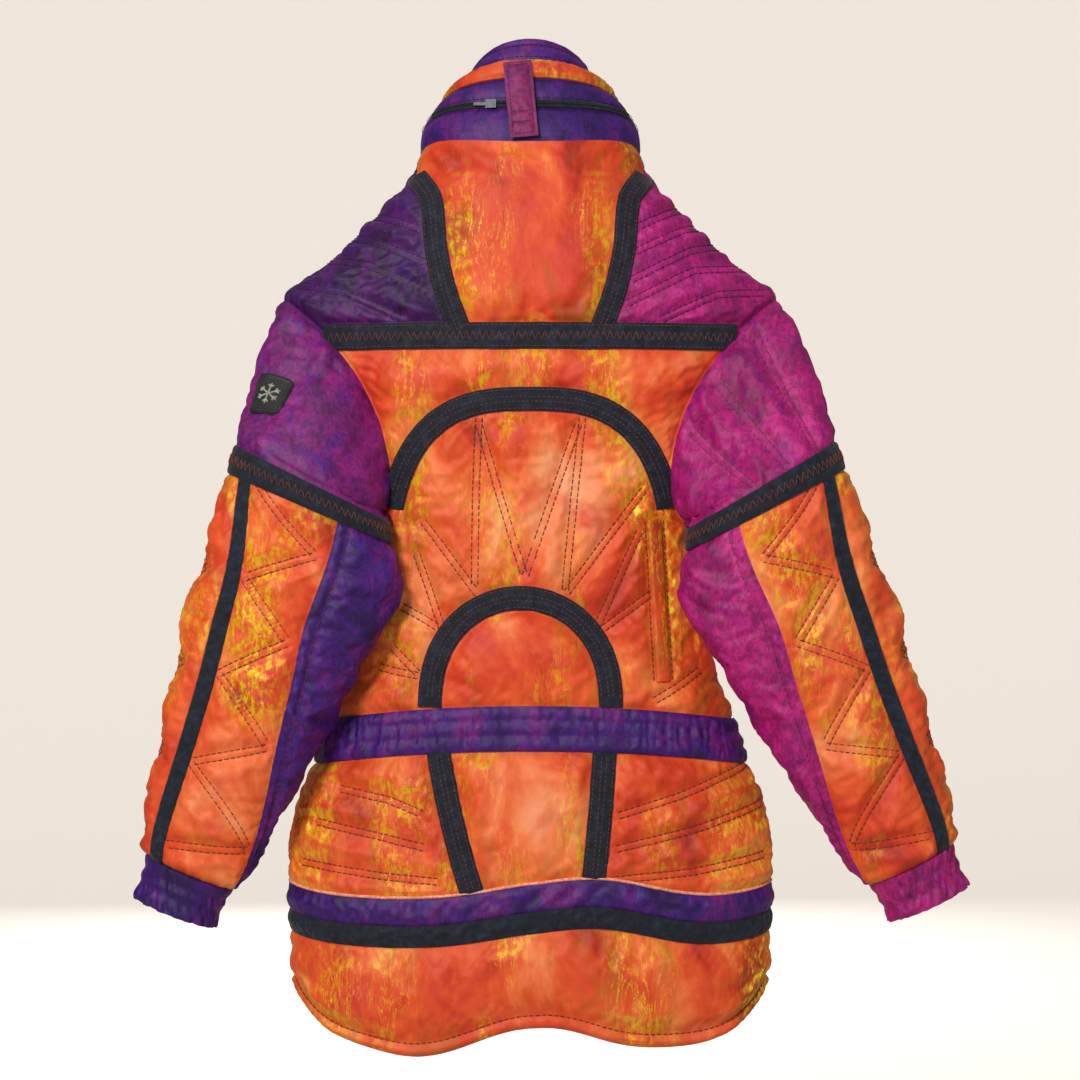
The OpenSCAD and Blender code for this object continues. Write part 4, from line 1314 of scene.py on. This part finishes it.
def make_lining():
    """Lining of the back and of each front, below the arms and between them."""
    for where, (side, how) in HALVES.items():
        nodes = ("back_lining", "back_wadding") if side == 0 else (f"{where}_front_lining", None)
        parts = (
            ("lower", lambda a: hem_line(a) + 26, level(UNDERARM_Z), level(0)),
            ("upper", level(UNDERARM_Z), lambda a: neck_line(a) - 4, arm_angle),
        )
        for node, (part, low, high, inner) in zip(nodes, parts):
            pattern = patch(low, high, between(side, inner, level(LINING_EDGE)))
            panel(
                f"{where}_lining_{part}", torso, pattern, LINING, how, "lining", node,
                relief=lining_relief, thick=lining_depth, cell=5)


# ---------------------------------------------------------------- sleeve pieces
# Heights of the corners of the quilting, at the under seam and at the stripe
ZIG_UNDER = [515, 464, 386, 297, 210]
ZIG_STRIPE = [510, 428, 344, 263, 188]
RING_HIGH, RING_LOW = 526, 503
RING_MID = (RING_HIGH + RING_LOW) / 2
STRIPE_HALF, SEAM_STITCH, SLEEVE_THICK = 10, 13, 5
# Quilting of the right cap: angles at the armhole and at the ring tape, in degrees
CAP_QUILTS = ((28, 44), (58, 72), (84, 98), (-30, -24), (-70, -66))
# The badge spans these angles and shares of the cap, and its top points along BADGE_UP
BADGE_F, BADGE_V, BADGE_UP = (17, 38), (0.42, 0.78), (-0.19, 0, 0.98)


def sleeve_uv(f, c):
    f, c = np.broadcast_arrays(np.asarray(f, float), np.asarray(c, float))
    return f / ROUND, s_at(c)


def beside_seam(c):
    """Line of stitches behind the under seam."""
    return sleeve_uv(under_seam(c) + SEAM_STITCH / sleeve_hw(c), c)


def zigzags():
    """Quilting of the outer panel, behind the stripe and in front of it, as lines of f and c."""
    pull, beside, ahead = np.radians((8, 9, 22))
    for side, shift in ((1, 0), (-1, ahead)):
        points = []
        for under, stripe in zip(ZIG_UNDER, ZIG_STRIPE):
            points.append((side * (float(under_seam(under)) - pull), under))
            points.append((float(stripe_angle(stripe)) + side * beside - shift, stripe))
        yield np.array(points)


def twin_lines(points):
    """Two lines a small gap apart along a run of (f, c) points."""
    for a, b in zip(points[:-1], points[1:]):
        middle = (a + b)[1] / 2
        wide = float(sleeve_hw(middle) + sleeve_hd(middle)) / 2
        d = unit((b - a) * (wide, -1))
        side = np.array([-d[1] / wide, -d[0]]) * QUILT_GAP / 2
        t = np.linspace(0, 1, 20)[:, None]
        for k in (-1, 1):
            yield lerp(a, b, t) + side * k


def sew_sleeve(cloth, side):
    """Sews a sleeve; returns its quilting lines and those of its cap."""
    whole = np.linspace(0, ROUND, 121)
    down = np.linspace(RING_HIGH, CUFF_Z, 80)
    for s in (0, 1):
        cloth.sew(whole / ROUND, np.full(121, s))
    for c in np.linspace(RING_LOW, RING_HIGH, 5):
        cloth.sew(*sleeve_uv(whole, c))
    for seam in (1, -1):
        cloth.sew(*sleeve_uv(seam * under_seam(down), down))
    cloth.sew(*beside_seam(down))
    for off in (-STRIPE_HALF, 0, STRIPE_HALF):
        cloth.sew(*sleeve_uv(stripe_angle(down) + off / sleeve_hw(down), down))
    quilts = [line for points in zigzags() for line in twin_lines(points)]
    for line in quilts:
        cloth.sew(*sleeve_uv(line[:, 0], line[:, 1]))
    cap = []
    if side > 0:
        for f in np.radians(np.linspace(*BADGE_F, 5)):
            cloth.sew([f / ROUND] * 2, [BADGE_V[0] * CAP_S, BADGE_V[1] * CAP_S])
        for v in np.linspace(*BADGE_V, 9):
            cloth.sew(np.radians(BADGE_F) / ROUND, [v * CAP_S] * 2)
    else:
        ends = np.array([0.03, float(s_at(RING_HIGH))])
        for f0, f1 in CAP_QUILTS:
            for off in (-2.2, 2.2):
                cap.append((np.radians([f0 + off, f1 + off]) / ROUND, ends))
    for u, v in cap:
        cloth.sew(u, v)
    return quilts, cap


def sleeve_pattern(first, last, high, low):
    """Pattern between two angles, given for a height of the centre line, and two heights."""
    def pattern(s, t):
        s, t = np.broadcast_arrays(s, t)
        c = lerp(high, low, t)
        return sleeve_uv(lerp(first(c), last(c), s), c)
    return pattern


def cuff_relief(s, t, p):
    """Gathered cuff: two pinched rows of elastic and a frilled edge."""
    ridge = 1 - 2 * np.abs(noise(p, 4.6, 41, 4))
    rows = np.exp(-(((t - 0.3) * 9) ** 2)) + np.exp(-(((t - 0.62) * 9) ** 2))
    frill = smooth((t - 0.66) / 0.34)
    return 1.2 + (1.3 + 1.3 * frill) * ridge - 1.7 * rows + 1.2 * frill


def cuff_place(side):
    def shape(u, v):
        c = lerp(CUFF_Z + 3, CUFF_LOW, v)
        wide = CUFF_W + 4 * (1 - v)
        return tube(side, u * ROUND, c, wide, wide - 8)
    return shape


def make_cuff(name, side, mat, slot):
    cloth = Board(cuff_place(side), 5, -side)
    panel(
        f"{name}_cuff_gathered", cloth, as_is, mat, f"{name}_lower_sleeve", slot, f"{name}_cuff",
        relief=cuff_relief, thick=3.0, cell=(1.5, 1.7), closed=True)


def sew_ring(name, cloth, how):
    """Zigzag on the tape round the upper arm."""
    count = 150
    step = np.arange(count + 1)
    zig = Thread()
    zig.zigzag(cloth, *sleeve_uv(step / count * ROUND, RING_MID + 4.2 * (-1) ** step), 2.9)
    zig.make(f"{name}_ring_zigzag", BROWN_THREAD, how, 0.38)


def make_sleeve(name, side):
    cloth = Cloth(lambda u, v: sleeve(side, u * ROUND, v), 20 + side, -side)
    quilts, cap_quilts = sew_sleeve(cloth, side)
    cloth.settle(96, 100, growth=0.04, pressure=4.0, cap=6.0)
    shoulder, elbow = shoulder_blend(side), elbow_blend(side)
    cap_mat, cap_slot = (PLUM, "plum") if side > 0 else (MAGENTA, "magenta")
    under_mat, under_slot = (VIOLET, "violet") if side > 0 else (MAGENTA, "magenta")
    panel(
        f"{name}_sleeve_cap_cloth", cloth, lambda s, t: (s, t * float(s_at(RING_MID))), cap_mat,
        shoulder, cap_slot, f"{name}_sleeve_cap", thick=SLEEVE_THICK, closed=True)
    parts = {
        "upper": (RING_MID, RING_LOW, ELBOW_Z, shoulder, 0),
        "forearm": (ELBOW_Z, ELBOW_Z, CUFF_Z, elbow, 8),
    }
    for part, (high, stripe_high, low, how, curl) in parts.items():
        outer = sleeve_pattern(lambda c: -under_seam(c), under_seam, high, low)
        under = sleeve_pattern(under_seam, lambda c: ROUND - under_seam(c), high, low)
        stripe = sleeve_pattern(
            lambda c: stripe_angle(c) - STRIPE_HALF / sleeve_hw(c),
            lambda c: stripe_angle(c) + STRIPE_HALF / sleeve_hw(c), stripe_high, low)
        node = f"{name}_forearm_tape" if part == "forearm" else None
        panel(
            f"{name}_{part}_outer_cloth", cloth, outer, ORANGE, how, "orange", f"{name}_{part}_outer",
            thick=SLEEVE_THICK, high_edge=curl)
        panel(
            f"{name}_{part}_under_cloth", cloth, under, under_mat, how, under_slot,
            f"{name}_{part}_under", thick=SLEEVE_THICK, high_edge=curl)
        panel(
            f"{name}_{part}_stripe", cloth, stripe, NAVY, how, "navy", node,
            relief=lambda s, t, p: tape_relief(TAPE_LIFT)(t, s, p), thick=TAPE_THICK,
            cell=TAPE_CELL[::-1], high_edge=curl)
    ring = lambda s, t: sleeve_uv(s * ROUND, lerp(RING_HIGH, RING_LOW, t))
    tape(f"{name}_ring_tape", cloth, ring, shoulder, nodes=[f"{name}_upper_tapes"], lift=2.0, closed=True)
    make_cuff(name, side, under_mat, under_slot)

    upper, forearm = Thread(), Thread()
    for line in quilts:
        above = line[:, 1] > ELBOW_Z
        for thread, inside in ((upper, above), (forearm, ~above)):
            if inside.sum() > 2:
                thread.run(cloth, *sleeve_uv(line[inside, 0], line[inside, 1]))
    for u, v in cap_quilts:
        upper.run(cloth, u, v)
    upper.run(cloth, *beside_seam(np.linspace(RING_LOW - 2, ELBOW_Z + 1, 60)))
    forearm.run(cloth, *beside_seam(np.linspace(ELBOW_Z - 1, CUFF_Z + 10, 60)))
    upper.make(f"{name}_upper_stitches", OLIVE_THREAD, shoulder)
    forearm.make(f"{name}_forearm_stitches", OLIVE_THREAD, elbow)
    sew_ring(name, cloth, shoulder)
    return cloth


# ---------------------------------------------------------------- collar
COLLAR_ZIP = (ZIP_T - 0.035, ZIP_T + 0.035)
TOP_STITCH_T = 0.93


def collar_shape(u, v):
    return collar(u * ROUND, v)


def collar_pattern(side, low, high):
    """Pattern of the back of the collar for side 0, or of the part on one front."""
    def pattern(s, t):
        s, t = np.broadcast_arrays(s, t)
        v = lerp(low, high, t)
        wide = collar_half_w(-math.pi / 2, v)
        edge = np.arccos((ZIP_GAP / wide) ** (lerp(SQUARE, 2, v) / 2))
        if side == 0:
            a = s * math.pi
        elif side > 0:
            a = lerp(-edge, 0, s)
        else:
            a = lerp(-math.pi, edge - math.pi, s)
        return a / ROUND, v
    return pattern


def roll_relief(s, t, p):
    """Gathered roll: a full tube of cloth, pleated across."""
    full = np.sqrt(np.maximum(0, 1 - (2 * np.clip(t, 0, 1) - 1) ** 2))
    pleat = 1 - 2 * np.abs(noise(p, 6.2, 51, 5))
    return 0.6 + full * (4.2 + 1.5 * pleat + 0.9 * noise(p, 15, 53))


def collar_band(from_deg, to_deg, low, high):
    return lambda s, t: (lerp(from_deg, to_deg, s) / 360, lerp(low, high, t) + 0 * s)


def make_collar():
    cloth = Cloth(collar_shape, 9, puff=2.6, crumpled=0.6)
    for t in (0, STAND_T, ROLL_T, TOP_STITCH_T, 1):
        cloth.sew(np.linspace(0, 1, 161), np.full(161, t))
    for t in np.linspace(*COLLAR_ZIP, 3):
        cloth.sew(np.linspace(20, 160, 90) / 360, np.full(90, t))
    for turns in ((-0.24, -0.2), (-0.26, -0.3)):
        cloth.sew(turns, (0.3, 0.3))
    cloth.shift = np.zeros((2, 4, 3))
    for where, (side, how) in HALVES.items():
        nodes = (f"{where}_front_collar", None, None)
        if side == 0:
            nodes = ("back_collar", "collar_roll", "collar_top")
        parts = (
            ("stand", 0, STAND_T, VIOLET, "violet", None, 6, 2.6, 0),
            ("roll", STAND_T, ROLL_T, ORANGE_DEEP, "orange", roll_relief, 5, (1.7, 1.7), 0),
            ("top", ROLL_T, 1, VIOLET, "violet", None, 5, 2.2, 3),
        )
        for node, (name, low, high, mat, slot, relief, thick, cell, curl) in zip(nodes, parts):
            panel(
                f"{where}_collar_{name}", cloth, collar_pattern(side, low, high), mat, how, slot, node,
                relief=relief, thick=thick, cell=cell, high_edge=curl)
    tape("collar_zip_tape", cloth, collar_band(23, 157, *COLLAR_ZIP), "jacket_body", "zip", ["collar_zip"])
    coil, count = Thread(), 150
    u = np.linspace(24, 156, count) / 360
    for ends, t in ((coil.a, ZIP_T - 0.012), (coil.b, ZIP_T + 0.012)):
        q, n, _ = cloth.bed(u, np.full(count, t))
        ends.append(q + n * 2.5)
    coil.n.append(n)
    coil.make("collar_zip_coil", NYLON, "jacket_body", 0.55)
    panel(
        "stowed_hood_cloth", cloth, collar_band(30, 150, 0.1, 0.52), VIOLET, "jacket_body", "lining",
        "stowed_hood", relief=lambda s, t, p: -6.2 + 0.3 * noise(p, 12, 57),
        thick=lambda p: 12 + 0.9 * noise(p, 14, 59), cell=3)
    stitches = Thread()
    for t in (STAND_T - 0.03, ROLL_T + 0.03, TOP_STITCH_T, ZIP_T - 0.055, ZIP_T + 0.055):
        stitches.run(cloth, np.linspace(2, 178, 90) / 360, np.full(90, t), dash=3.2, gap=1.2)
    stitches.make("collar_stitches", DARK_THREAD, "jacket_body", FINE_THREAD)


# ---------------------------------------------------------------- flat padded parts
class Board(Cloth):
    """Small piece of padded cloth that isn't simulated: u goes across it and v along it."""

    def __init__(self, place, seed, sign, puff=1.6, crumpled=0.5):
        super().__init__(place, seed, sign, puff, crumpled)
        self.shift = np.zeros((2, 4, 3))


FLAP_X, FLAP_Z, FLAP_Y = 23, (100, 770), -FRONT_D - 4.6


FLAP_STITCH, FLAP_CORNER = 5, 6


def flap_place(u, v):
    return stack(lerp(-FLAP_X, FLAP_X, u), FLAP_Y - 3.2, lerp(*FLAP_Z, v))


def flap_outline(s, t):
    """The flap with round corners on its free side."""
    s, t = np.broadcast_arrays(s, t)
    from_end = np.clip(np.minimum(t, 1 - t) * (FLAP_Z[1] - FLAP_Z[0]), 0, FLAP_CORNER)
    into = FLAP_CORNER - from_end
    cut = (FLAP_CORNER - np.sqrt(np.maximum(0, FLAP_CORNER ** 2 - into ** 2))) / (2 * FLAP_X)
    return lerp(cut, 1, s), t + 0 * s


def make_flap():
    cloth = Board(flap_place, 31, 1, 1.9, 0.5)
    side, end = FLAP_STITCH / (2 * FLAP_X), FLAP_STITCH / (FLAP_Z[1] - FLAP_Z[0])
    for u in (0.002, side, 1 - side, 0.998):
        cloth.sew([u, u], [0, 1])
    for v in (0, end, 1 - end, 1):
        cloth.sew([0, 1], [v, v])
    panel(
        "storm_flap_padded", cloth, flap_outline, ORANGE, "flap", "orange", "storm_flap", thick=1.0,
        cell=(1.8, 2.2))
    stitches = Thread()
    for u in (side, 1 - side):
        stitches.run(cloth, [u, u], [end, 1 - end], dash=3.4, gap=1.2)
    for v in (end, 1 - end):
        stitches.run(cloth, [side, 1 - side], [v, v], dash=3.4, gap=1.2)
    stitches.make("storm_flap_stitches", OLIVE_THREAD, "flap", FINE_THREAD)


STRAP_W, STRAP_LEN, STRAP_TOP = 26, 77, (12, 52, 914)
# The strap hangs out from the collar by STRAP_HANG and leans to one side by STRAP_LEAN
STRAP_HANG, STRAP_LEAN = math.radians(18), math.atan(7 / STRAP_LEN)
# Stitched lines along the strap and across it, as shares of its width and length
STRAP_ALONG, STRAP_ACROSS = (0.13, 0.87), (0.05, 0.2, 0.34, 0.95)


def turned(a, b, angle):
    c, s = math.cos(angle), math.sin(angle)
    return a * c - b * s, a * s + b * c


def strap_place(u, v):
    x, z = lerp(-STRAP_W / 2, STRAP_W / 2, np.asarray(u)), lerp(-STRAP_LEN, 0, np.asarray(v))
    y, z = turned(1.9, z, STRAP_HANG)
    x, z = turned(x, z, -STRAP_LEAN)
    return stack(STRAP_TOP[0] + x, STRAP_TOP[1] + y, STRAP_TOP[2] + z)


def make_strap():
    cloth = Board(strap_place, 33, -1, 0.9, 0.3)
    for u in (0.003, *STRAP_ALONG, 0.997):
        cloth.sew([u, u], [0, 1])
    for v in (0, *STRAP_ACROSS, 1):
        cloth.sew([0, 1], [v, v])
    panel(
        "collar_strap_cloth", cloth, as_is, MAGENTA_DEEP, "strap", "magenta", "collar_strap", thick=1.7,
        cell=1.5)
    stitches = Thread()
    for u in STRAP_ALONG:
        stitches.run(cloth, [u, u], [STRAP_ACROSS[0], STRAP_ACROSS[-1]], dash=2.6, gap=1.0)
    for v in STRAP_ACROSS:
        stitches.run(cloth, STRAP_ALONG, [v, v], dash=2.6, gap=1.0)
    stitches.make("collar_strap_stitches", DARK_THREAD, "strap", 0.32)


def make_badge(cloth):
    """Dark rubber plate with round corners, a raised rim and a pale snowflake."""
    u0 = math.radians(sum(BADGE_F) / 2) / ROUND
    v0 = sum(BADGE_V) / 2 * CAP_S
    step = 0.01
    middle, normal = (x[0] for x in cloth.plain(np.array([u0]), np.array([v0])))
    grown = cloth.shape(np.array([u0 + step, u0]), np.array([v0, v0 + step])) - middle
    up = unit(np.array(BADGE_UP) - normal * (np.array(BADGE_UP) @ normal))
    axes = np.stack([np.cross(up, normal), up])
    to_uv = np.linalg.inv(grown @ axes.T) * step
    wide, tall, corner = 34, 41, 7

    def place(x, y):
        uv = np.stack(np.broadcast_arrays(x, y), -1) @ to_uv
        return u0 + uv[..., 0], v0 + uv[..., 1]

    def pattern(s, t):
        y = (t - 0.5) * tall
        into = np.clip(corner - (tall / 2 - np.abs(y)), 0, corner)
        cut = corner - np.sqrt(corner ** 2 - into ** 2)
        return place((2 * s - 1) * (wide / 2 - cut), y)

    def relief(s, t, p):
        edge = np.maximum(np.abs(2 * s - 1), np.abs(2 * t - 1))
        rim = np.exp(-(((edge - 0.87) / 0.05) ** 2))
        return 2.6 + 0.8 * rim - 1.8 * smooth((edge - 0.93) / 0.07)
    panel(
        "left_badge_plate", cloth, pattern, RUBBER, shoulder_blend(1), "rubber", "badge", relief=relief,
        thick=0.6, cell=0.9)
    flake = Thread()
    arm_long, twig_at, twig_long, twig_turn = 11, 6.4, 3.8, math.radians(45)
    arms = []
    for k in range(6):
        g = math.radians(60 * k + 30)
        out = np.array([math.cos(g), math.sin(g)])
        arms.append((out * 0, out * arm_long))
        for h in (g + twig_turn, g - twig_turn):
            twig = np.array([math.cos(h), math.sin(h)])
            arms.append((out * twig_at, out * twig_at + twig_long * twig))
    for ends, k in ((flake.a, 0), (flake.b, 1)):
        xy = np.array([arm[k] for arm in arms])
        q, n, _ = cloth.bed(*place(xy[:, 0], xy[:, 1]))
        ends.append(q + n * 2.9)
    flake.n.append(n)
    flake.make("left_badge_snowflake", PALE_RUBBER, shoulder_blend(1), 0.9)


# ---------------------------------------------------------------- zips
def blocks(name, centres, size, mat, how):
    """Row of small blocks with bevelled edges."""
    ring = np.array([(-1, -1), (1, -1), (1, 1), (-1, 1)], float)
    levels = ((-1, 0.75), (-0.6, 1), (0.6, 1), (1, 0.75))
    verts, faces = [], []
    for y, wide in levels:
        for x, z in ring:
            verts.append(np.array([x * wide, y, z * wide]) * np.array(size) / 2)
    for k in range(3):
        for i in range(4):
            j = (i + 1) % 4
            faces.append((k * 4 + i, k * 4 + j, k * 4 + 4 + j, k * 4 + 4 + i))
    faces += [(0, 3, 2, 1), (12, 13, 14, 15)]
    every = np.concatenate([np.array(verts) + c for c in centres])
    all_faces = [tuple(i + 16 * k for i in f[::-1]) for k in range(len(centres)) for f in faces]
    follow(finish_mesh(name, every, all_faces, [False] * len(all_faces), mat), how)


ZIP_LOW, ZIP_TOP, TOOTH_PITCH = 62, {"left": 858, "right": 844.5}, 3.1


def make_zips():
    """Tape, teeth and end stops of both halves; the teeth of one half fit between the other's."""
    for name, side in SIDES.items():
        how, top = f"{name}_front_half", ZIP_TOP[name]
        start = ZIP_LOW + 2 + (TOOTH_PITCH / 2 if side < 0 else 0)
        teeth = [(side * 2.1, ZIP_Y, z) for z in np.arange(start, top - 1, TOOTH_PITCH)]
        blocks(f"{name}_zip_teeth", teeth, (3.1, 3.4, 1.9), NYLON, how)
        stops = [(side * 2.4, ZIP_Y, z) for z in (ZIP_LOW, top - 0.4)]
        blocks(f"{name}_zip_stops", stops, (3.2, 3.8, 3.0), METAL, how)

        def place(u, v, side=side, top=top):
            return stack(side * lerp(2.6, 10.4, u), ZIP_Y - 0.1, lerp(ZIP_LOW - 2, top, v))
        panel(
            f"{name}_zip_tape", Board(place, 35, side), as_is, NAVY, how, "zip", f"{name}_zip",
            relief=lambda s, t, p: 0.35 + 0.08 * noise(p, 6, 37), thick=0.5, cell=(1.6, 5))


# ---------------------------------------------------------------- sewing threads of the torso
# Reach of the zigzag on each side of the middle of a wide tape
ZIG_REACH = 4.4


def run_lines(thread, lines, place, side=1):
    """Running stitch along lines of (x, z) points on one side of the body."""
    for line in lines:
        thread.run(torso, *place(side * line[:, 0], line[:, 1]))


def zig_tape(thread, place, start, end, count, z, lift):
    """Zigzag stitch along a level tape."""
    step = np.arange(count + 1)
    x = lerp(start, end, step / count)
    thread.zigzag(torso, *place(x, z + ZIG_REACH * (-1) ** step), lift)


def make_stitches():
    back, dark, tapes = Thread(), Thread(), Thread()
    run_lines(back, quilt_pairs(SKIRT_QUILTS + BACK_QUILTS), on_back)
    whole = np.linspace(0.004, 0.496, 200) * ROUND
    back.run(torso, *at_angle(whole, hem_line(whole) + HEM_STITCH))
    for gap in (-WELT_W / 2 - 2.5, WELT_W / 2 + 2.5):
        line = offset_line(welt_path(T), gap)
        back.run(torso, *on_back(line[:, 0], line[:, 1]), 0.8)
    back.make("back_quilt_stitches", OLIVE_THREAD, "jacket_body", 0.5)
    run_lines(dark, quilt_pairs(SHOULDER_QUILTS), on_back)
    dark.make("shoulder_quilt_stitches", DARK_THREAD, "jacket_body")

    for name, (path, _) in BACK_TAPES.items():
        yoke = name == "yoke_tape"
        for gap in (-9.4, 9.4) if yoke else (-8.6, -2.2, 2.2, 8.6):
            line = offset_line(path(T[1:-1]), gap)
            lift = TAPE_LIFT + (0.8 if yoke else 0.5)
            tapes.run(torso, *on_back(line[:, 0], line[:, 1]), lift, 3.0, 1.2)
    zig_tape(tapes, on_back, -186, 186, 125, YOKE_TAPE_Z, TAPE_LIFT + 1.0)
    tapes.make("back_tape_stitches", BROWN_THREAD, "jacket_body", FINE_THREAD)

    by_zip, past_tape = 17.0, 14
    for name, side in SIDES.items():
        how = fold_blend(side)
        quilts, darks, across = Thread(), Thread(), Thread()
        for line in quilt_pairs(FRONT_QUILTS):
            run_lines(darks if line[0, 1] > FRONT_TAPE_Z else quilts, [line], on_front, side)
        low = np.linspace(40, FRONT_TAPE_Z - past_tape, 60)
        high = np.linspace(FRONT_TAPE_Z + past_tape, 770, 30)
        quilts.run(torso, *on_front(side * by_zip, low))
        darks.run(torso, *on_front(side * by_zip, high))
        turn = np.linspace(*((-0.245, -0.004) if side > 0 else (0.504, 0.745)), 100) * ROUND
        quilts.run(torso, *at_angle(turn, hem_line(turn) + HEM_STITCH))
        quilts.make(f"{name}_front_quilt_stitches", OLIVE_THREAD, how)
        darks.make(f"{name}_front_shoulder_stitches", DARK_THREAD, how)
        zig_tape(across, on_front, side * 9, side * 140, 44, FRONT_TAPE_Z, TAPE_LIFT + 0.6)
        across.make(f"{name}_front_tape_zigzag", BROWN_THREAD, how, FINE_THREAD)


# ---------------------------------------------------------------- pockets of the fronts
def make_pockets():
    """Slanting hand pockets with an orange welt along a covered zip."""
    for name, side in SIDES.items():
        how, path = fold_blend(side), pocket(side)
        tape(f"{name}_pocket_tape", torso, tape_pattern(path, on_front, TAPE_W, 1), how)
        panel(
            f"{name}_pocket_welt", torso, tape_pattern(path, on_front, 11, 1), ORANGE_DEEP, how, "orange",
            relief=tape_relief(TAPE_LIFT + 1.6), thick=0.2, cell=TAPE_CELL)


make_back()
make_rounds()
make_back_tapes()
make_fronts()
make_lining()
make_pockets()
left_cloth = make_sleeve("left", 1)
make_sleeve("right", -1)
make_badge(left_cloth)
make_collar()
make_flap()
make_strap()
make_zips()
make_stitches()


# ---------------------------------------------------------------- hardware that the CAD shapes show
for node, mat in (
        ("hang_loop", CORD), ("snap_caps", METAL), ("snap_studs", METAL), ("main_slider", METAL),
        ("main_pull", METAL), ("collar_slider", DARK_METAL)):
    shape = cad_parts[node]
    shape.data.materials.clear()
    shape.data.materials.append(mat)


# ---------------------------------------------------------------- studio
def wall_white():
    g = Graph("studio_white")
    colour = g.ramp(g.noise(900, 1, 1, 2), (0.3, rgb("C4BFB8")), (0.7, rgb("CAC5BF")))
    seen = g.tree.nodes.new("ShaderNodeLightPath").outputs["Is Camera Ray"]
    return g.done(
        Base_Color=colour, Roughness=0.9, Specular_IOR_Level=0.2, Emission_Color=rgb("FFF6EC"),
        Emission_Strength=g.math("MULTIPLY", seen, 0.64))


def make_stage():
    """Round pale floor that curves up into a wall all round."""
    flat, rise, floor, tall, sides = 3.4, 1.6, -0.30, 4.2, 96
    profile = [(flat * k / 6, floor) for k in range(1, 7)]
    for g in np.arange(1, 17) / 16 * math.pi / 2:
        profile.append((flat + rise * math.sin(g), floor + rise * (1 - math.cos(g))))
    profile.append((flat + rise, tall))
    mesh = bmesh.new()
    rings = []
    for r, z in profile:
        turns = np.arange(sides) / sides * ROUND
        rings.append([mesh.verts.new((r * math.cos(g), r * math.sin(g), z)) for g in turns])
    middle = mesh.verts.new((0, 0, floor))
    for i in range(sides):
        mesh.faces.new((middle, rings[0][i], rings[0][(i + 1) % sides]))
    for low, high in zip(rings[:-1], rings[1:]):
        for i in range(sides):
            j = (i + 1) % sides
            mesh.faces.new((low[i], low[j], high[j], high[i]))
    bmesh.ops.recalc_face_normals(mesh, faces=mesh.faces)
    bmesh.ops.reverse_faces(mesh, faces=mesh.faces)
    data = bpy.data.meshes.new("studio_sweep")
    mesh.to_mesh(data)
    mesh.free()
    data.polygons.foreach_set("use_smooth", [True] * len(data.polygons))
    data.materials.append(wall_white())
    link("studio_sweep", data)


def area_light(name, place, target, size, power, tint=(1, 1, 1)):
    light = bpy.data.lights.new(name, "AREA")
    light.size, light.energy, light.color = size, power, tint
    obj = link(name, light)
    obj.location = place
    obj.rotation_euler = (Vector(target) - Vector(place)).to_track_quat("-Z", "Y").to_euler()


def make_lights():
    middle = (0, 0, 0.45)
    area_light("key", (1.0, 2.6, 1.7), middle, 0.7, 62, (1, 0.97, 0.93))
    area_light("fill", (-2.2, 2.0, 0.9), middle, 2.2, 9, (0.97, 0.98, 1))
    area_light("front", (0.2, -2.9, 1.0), middle, 1.3, 54, (1, 0.98, 0.95))
    area_light("top", (0.2, 0.2, 3.2), middle, 2.6, 8)
    world = bpy.data.worlds.new("studio_air")
    world.use_nodes = True
    air = world.node_tree.nodes["Background"]
    air.inputs["Color"].default_value = (1, 0.985, 0.965, 1)
    air.inputs["Strength"].default_value = 0.3
    bpy.context.scene.world = world


def make_camera():
    """Camera behind the jacket that sees seen_wide metres across at its middle."""
    away, seen_wide, middle = 2.4, 0.9936, (-0.009, 0.05, 0.474)
    camera = bpy.data.cameras.new("camera")
    camera.sensor_width = 36
    camera.lens = camera.sensor_width * away / seen_wide
    obj = link("camera", camera)
    obj.location = (middle[0], middle[1] + away, middle[2])
    obj.rotation_euler = (math.pi / 2, 0, math.pi)
    bpy.context.scene.camera = obj


make_stage()
make_lights()
make_camera()
bpy.context.scene.view_settings.view_transform = "Standard"
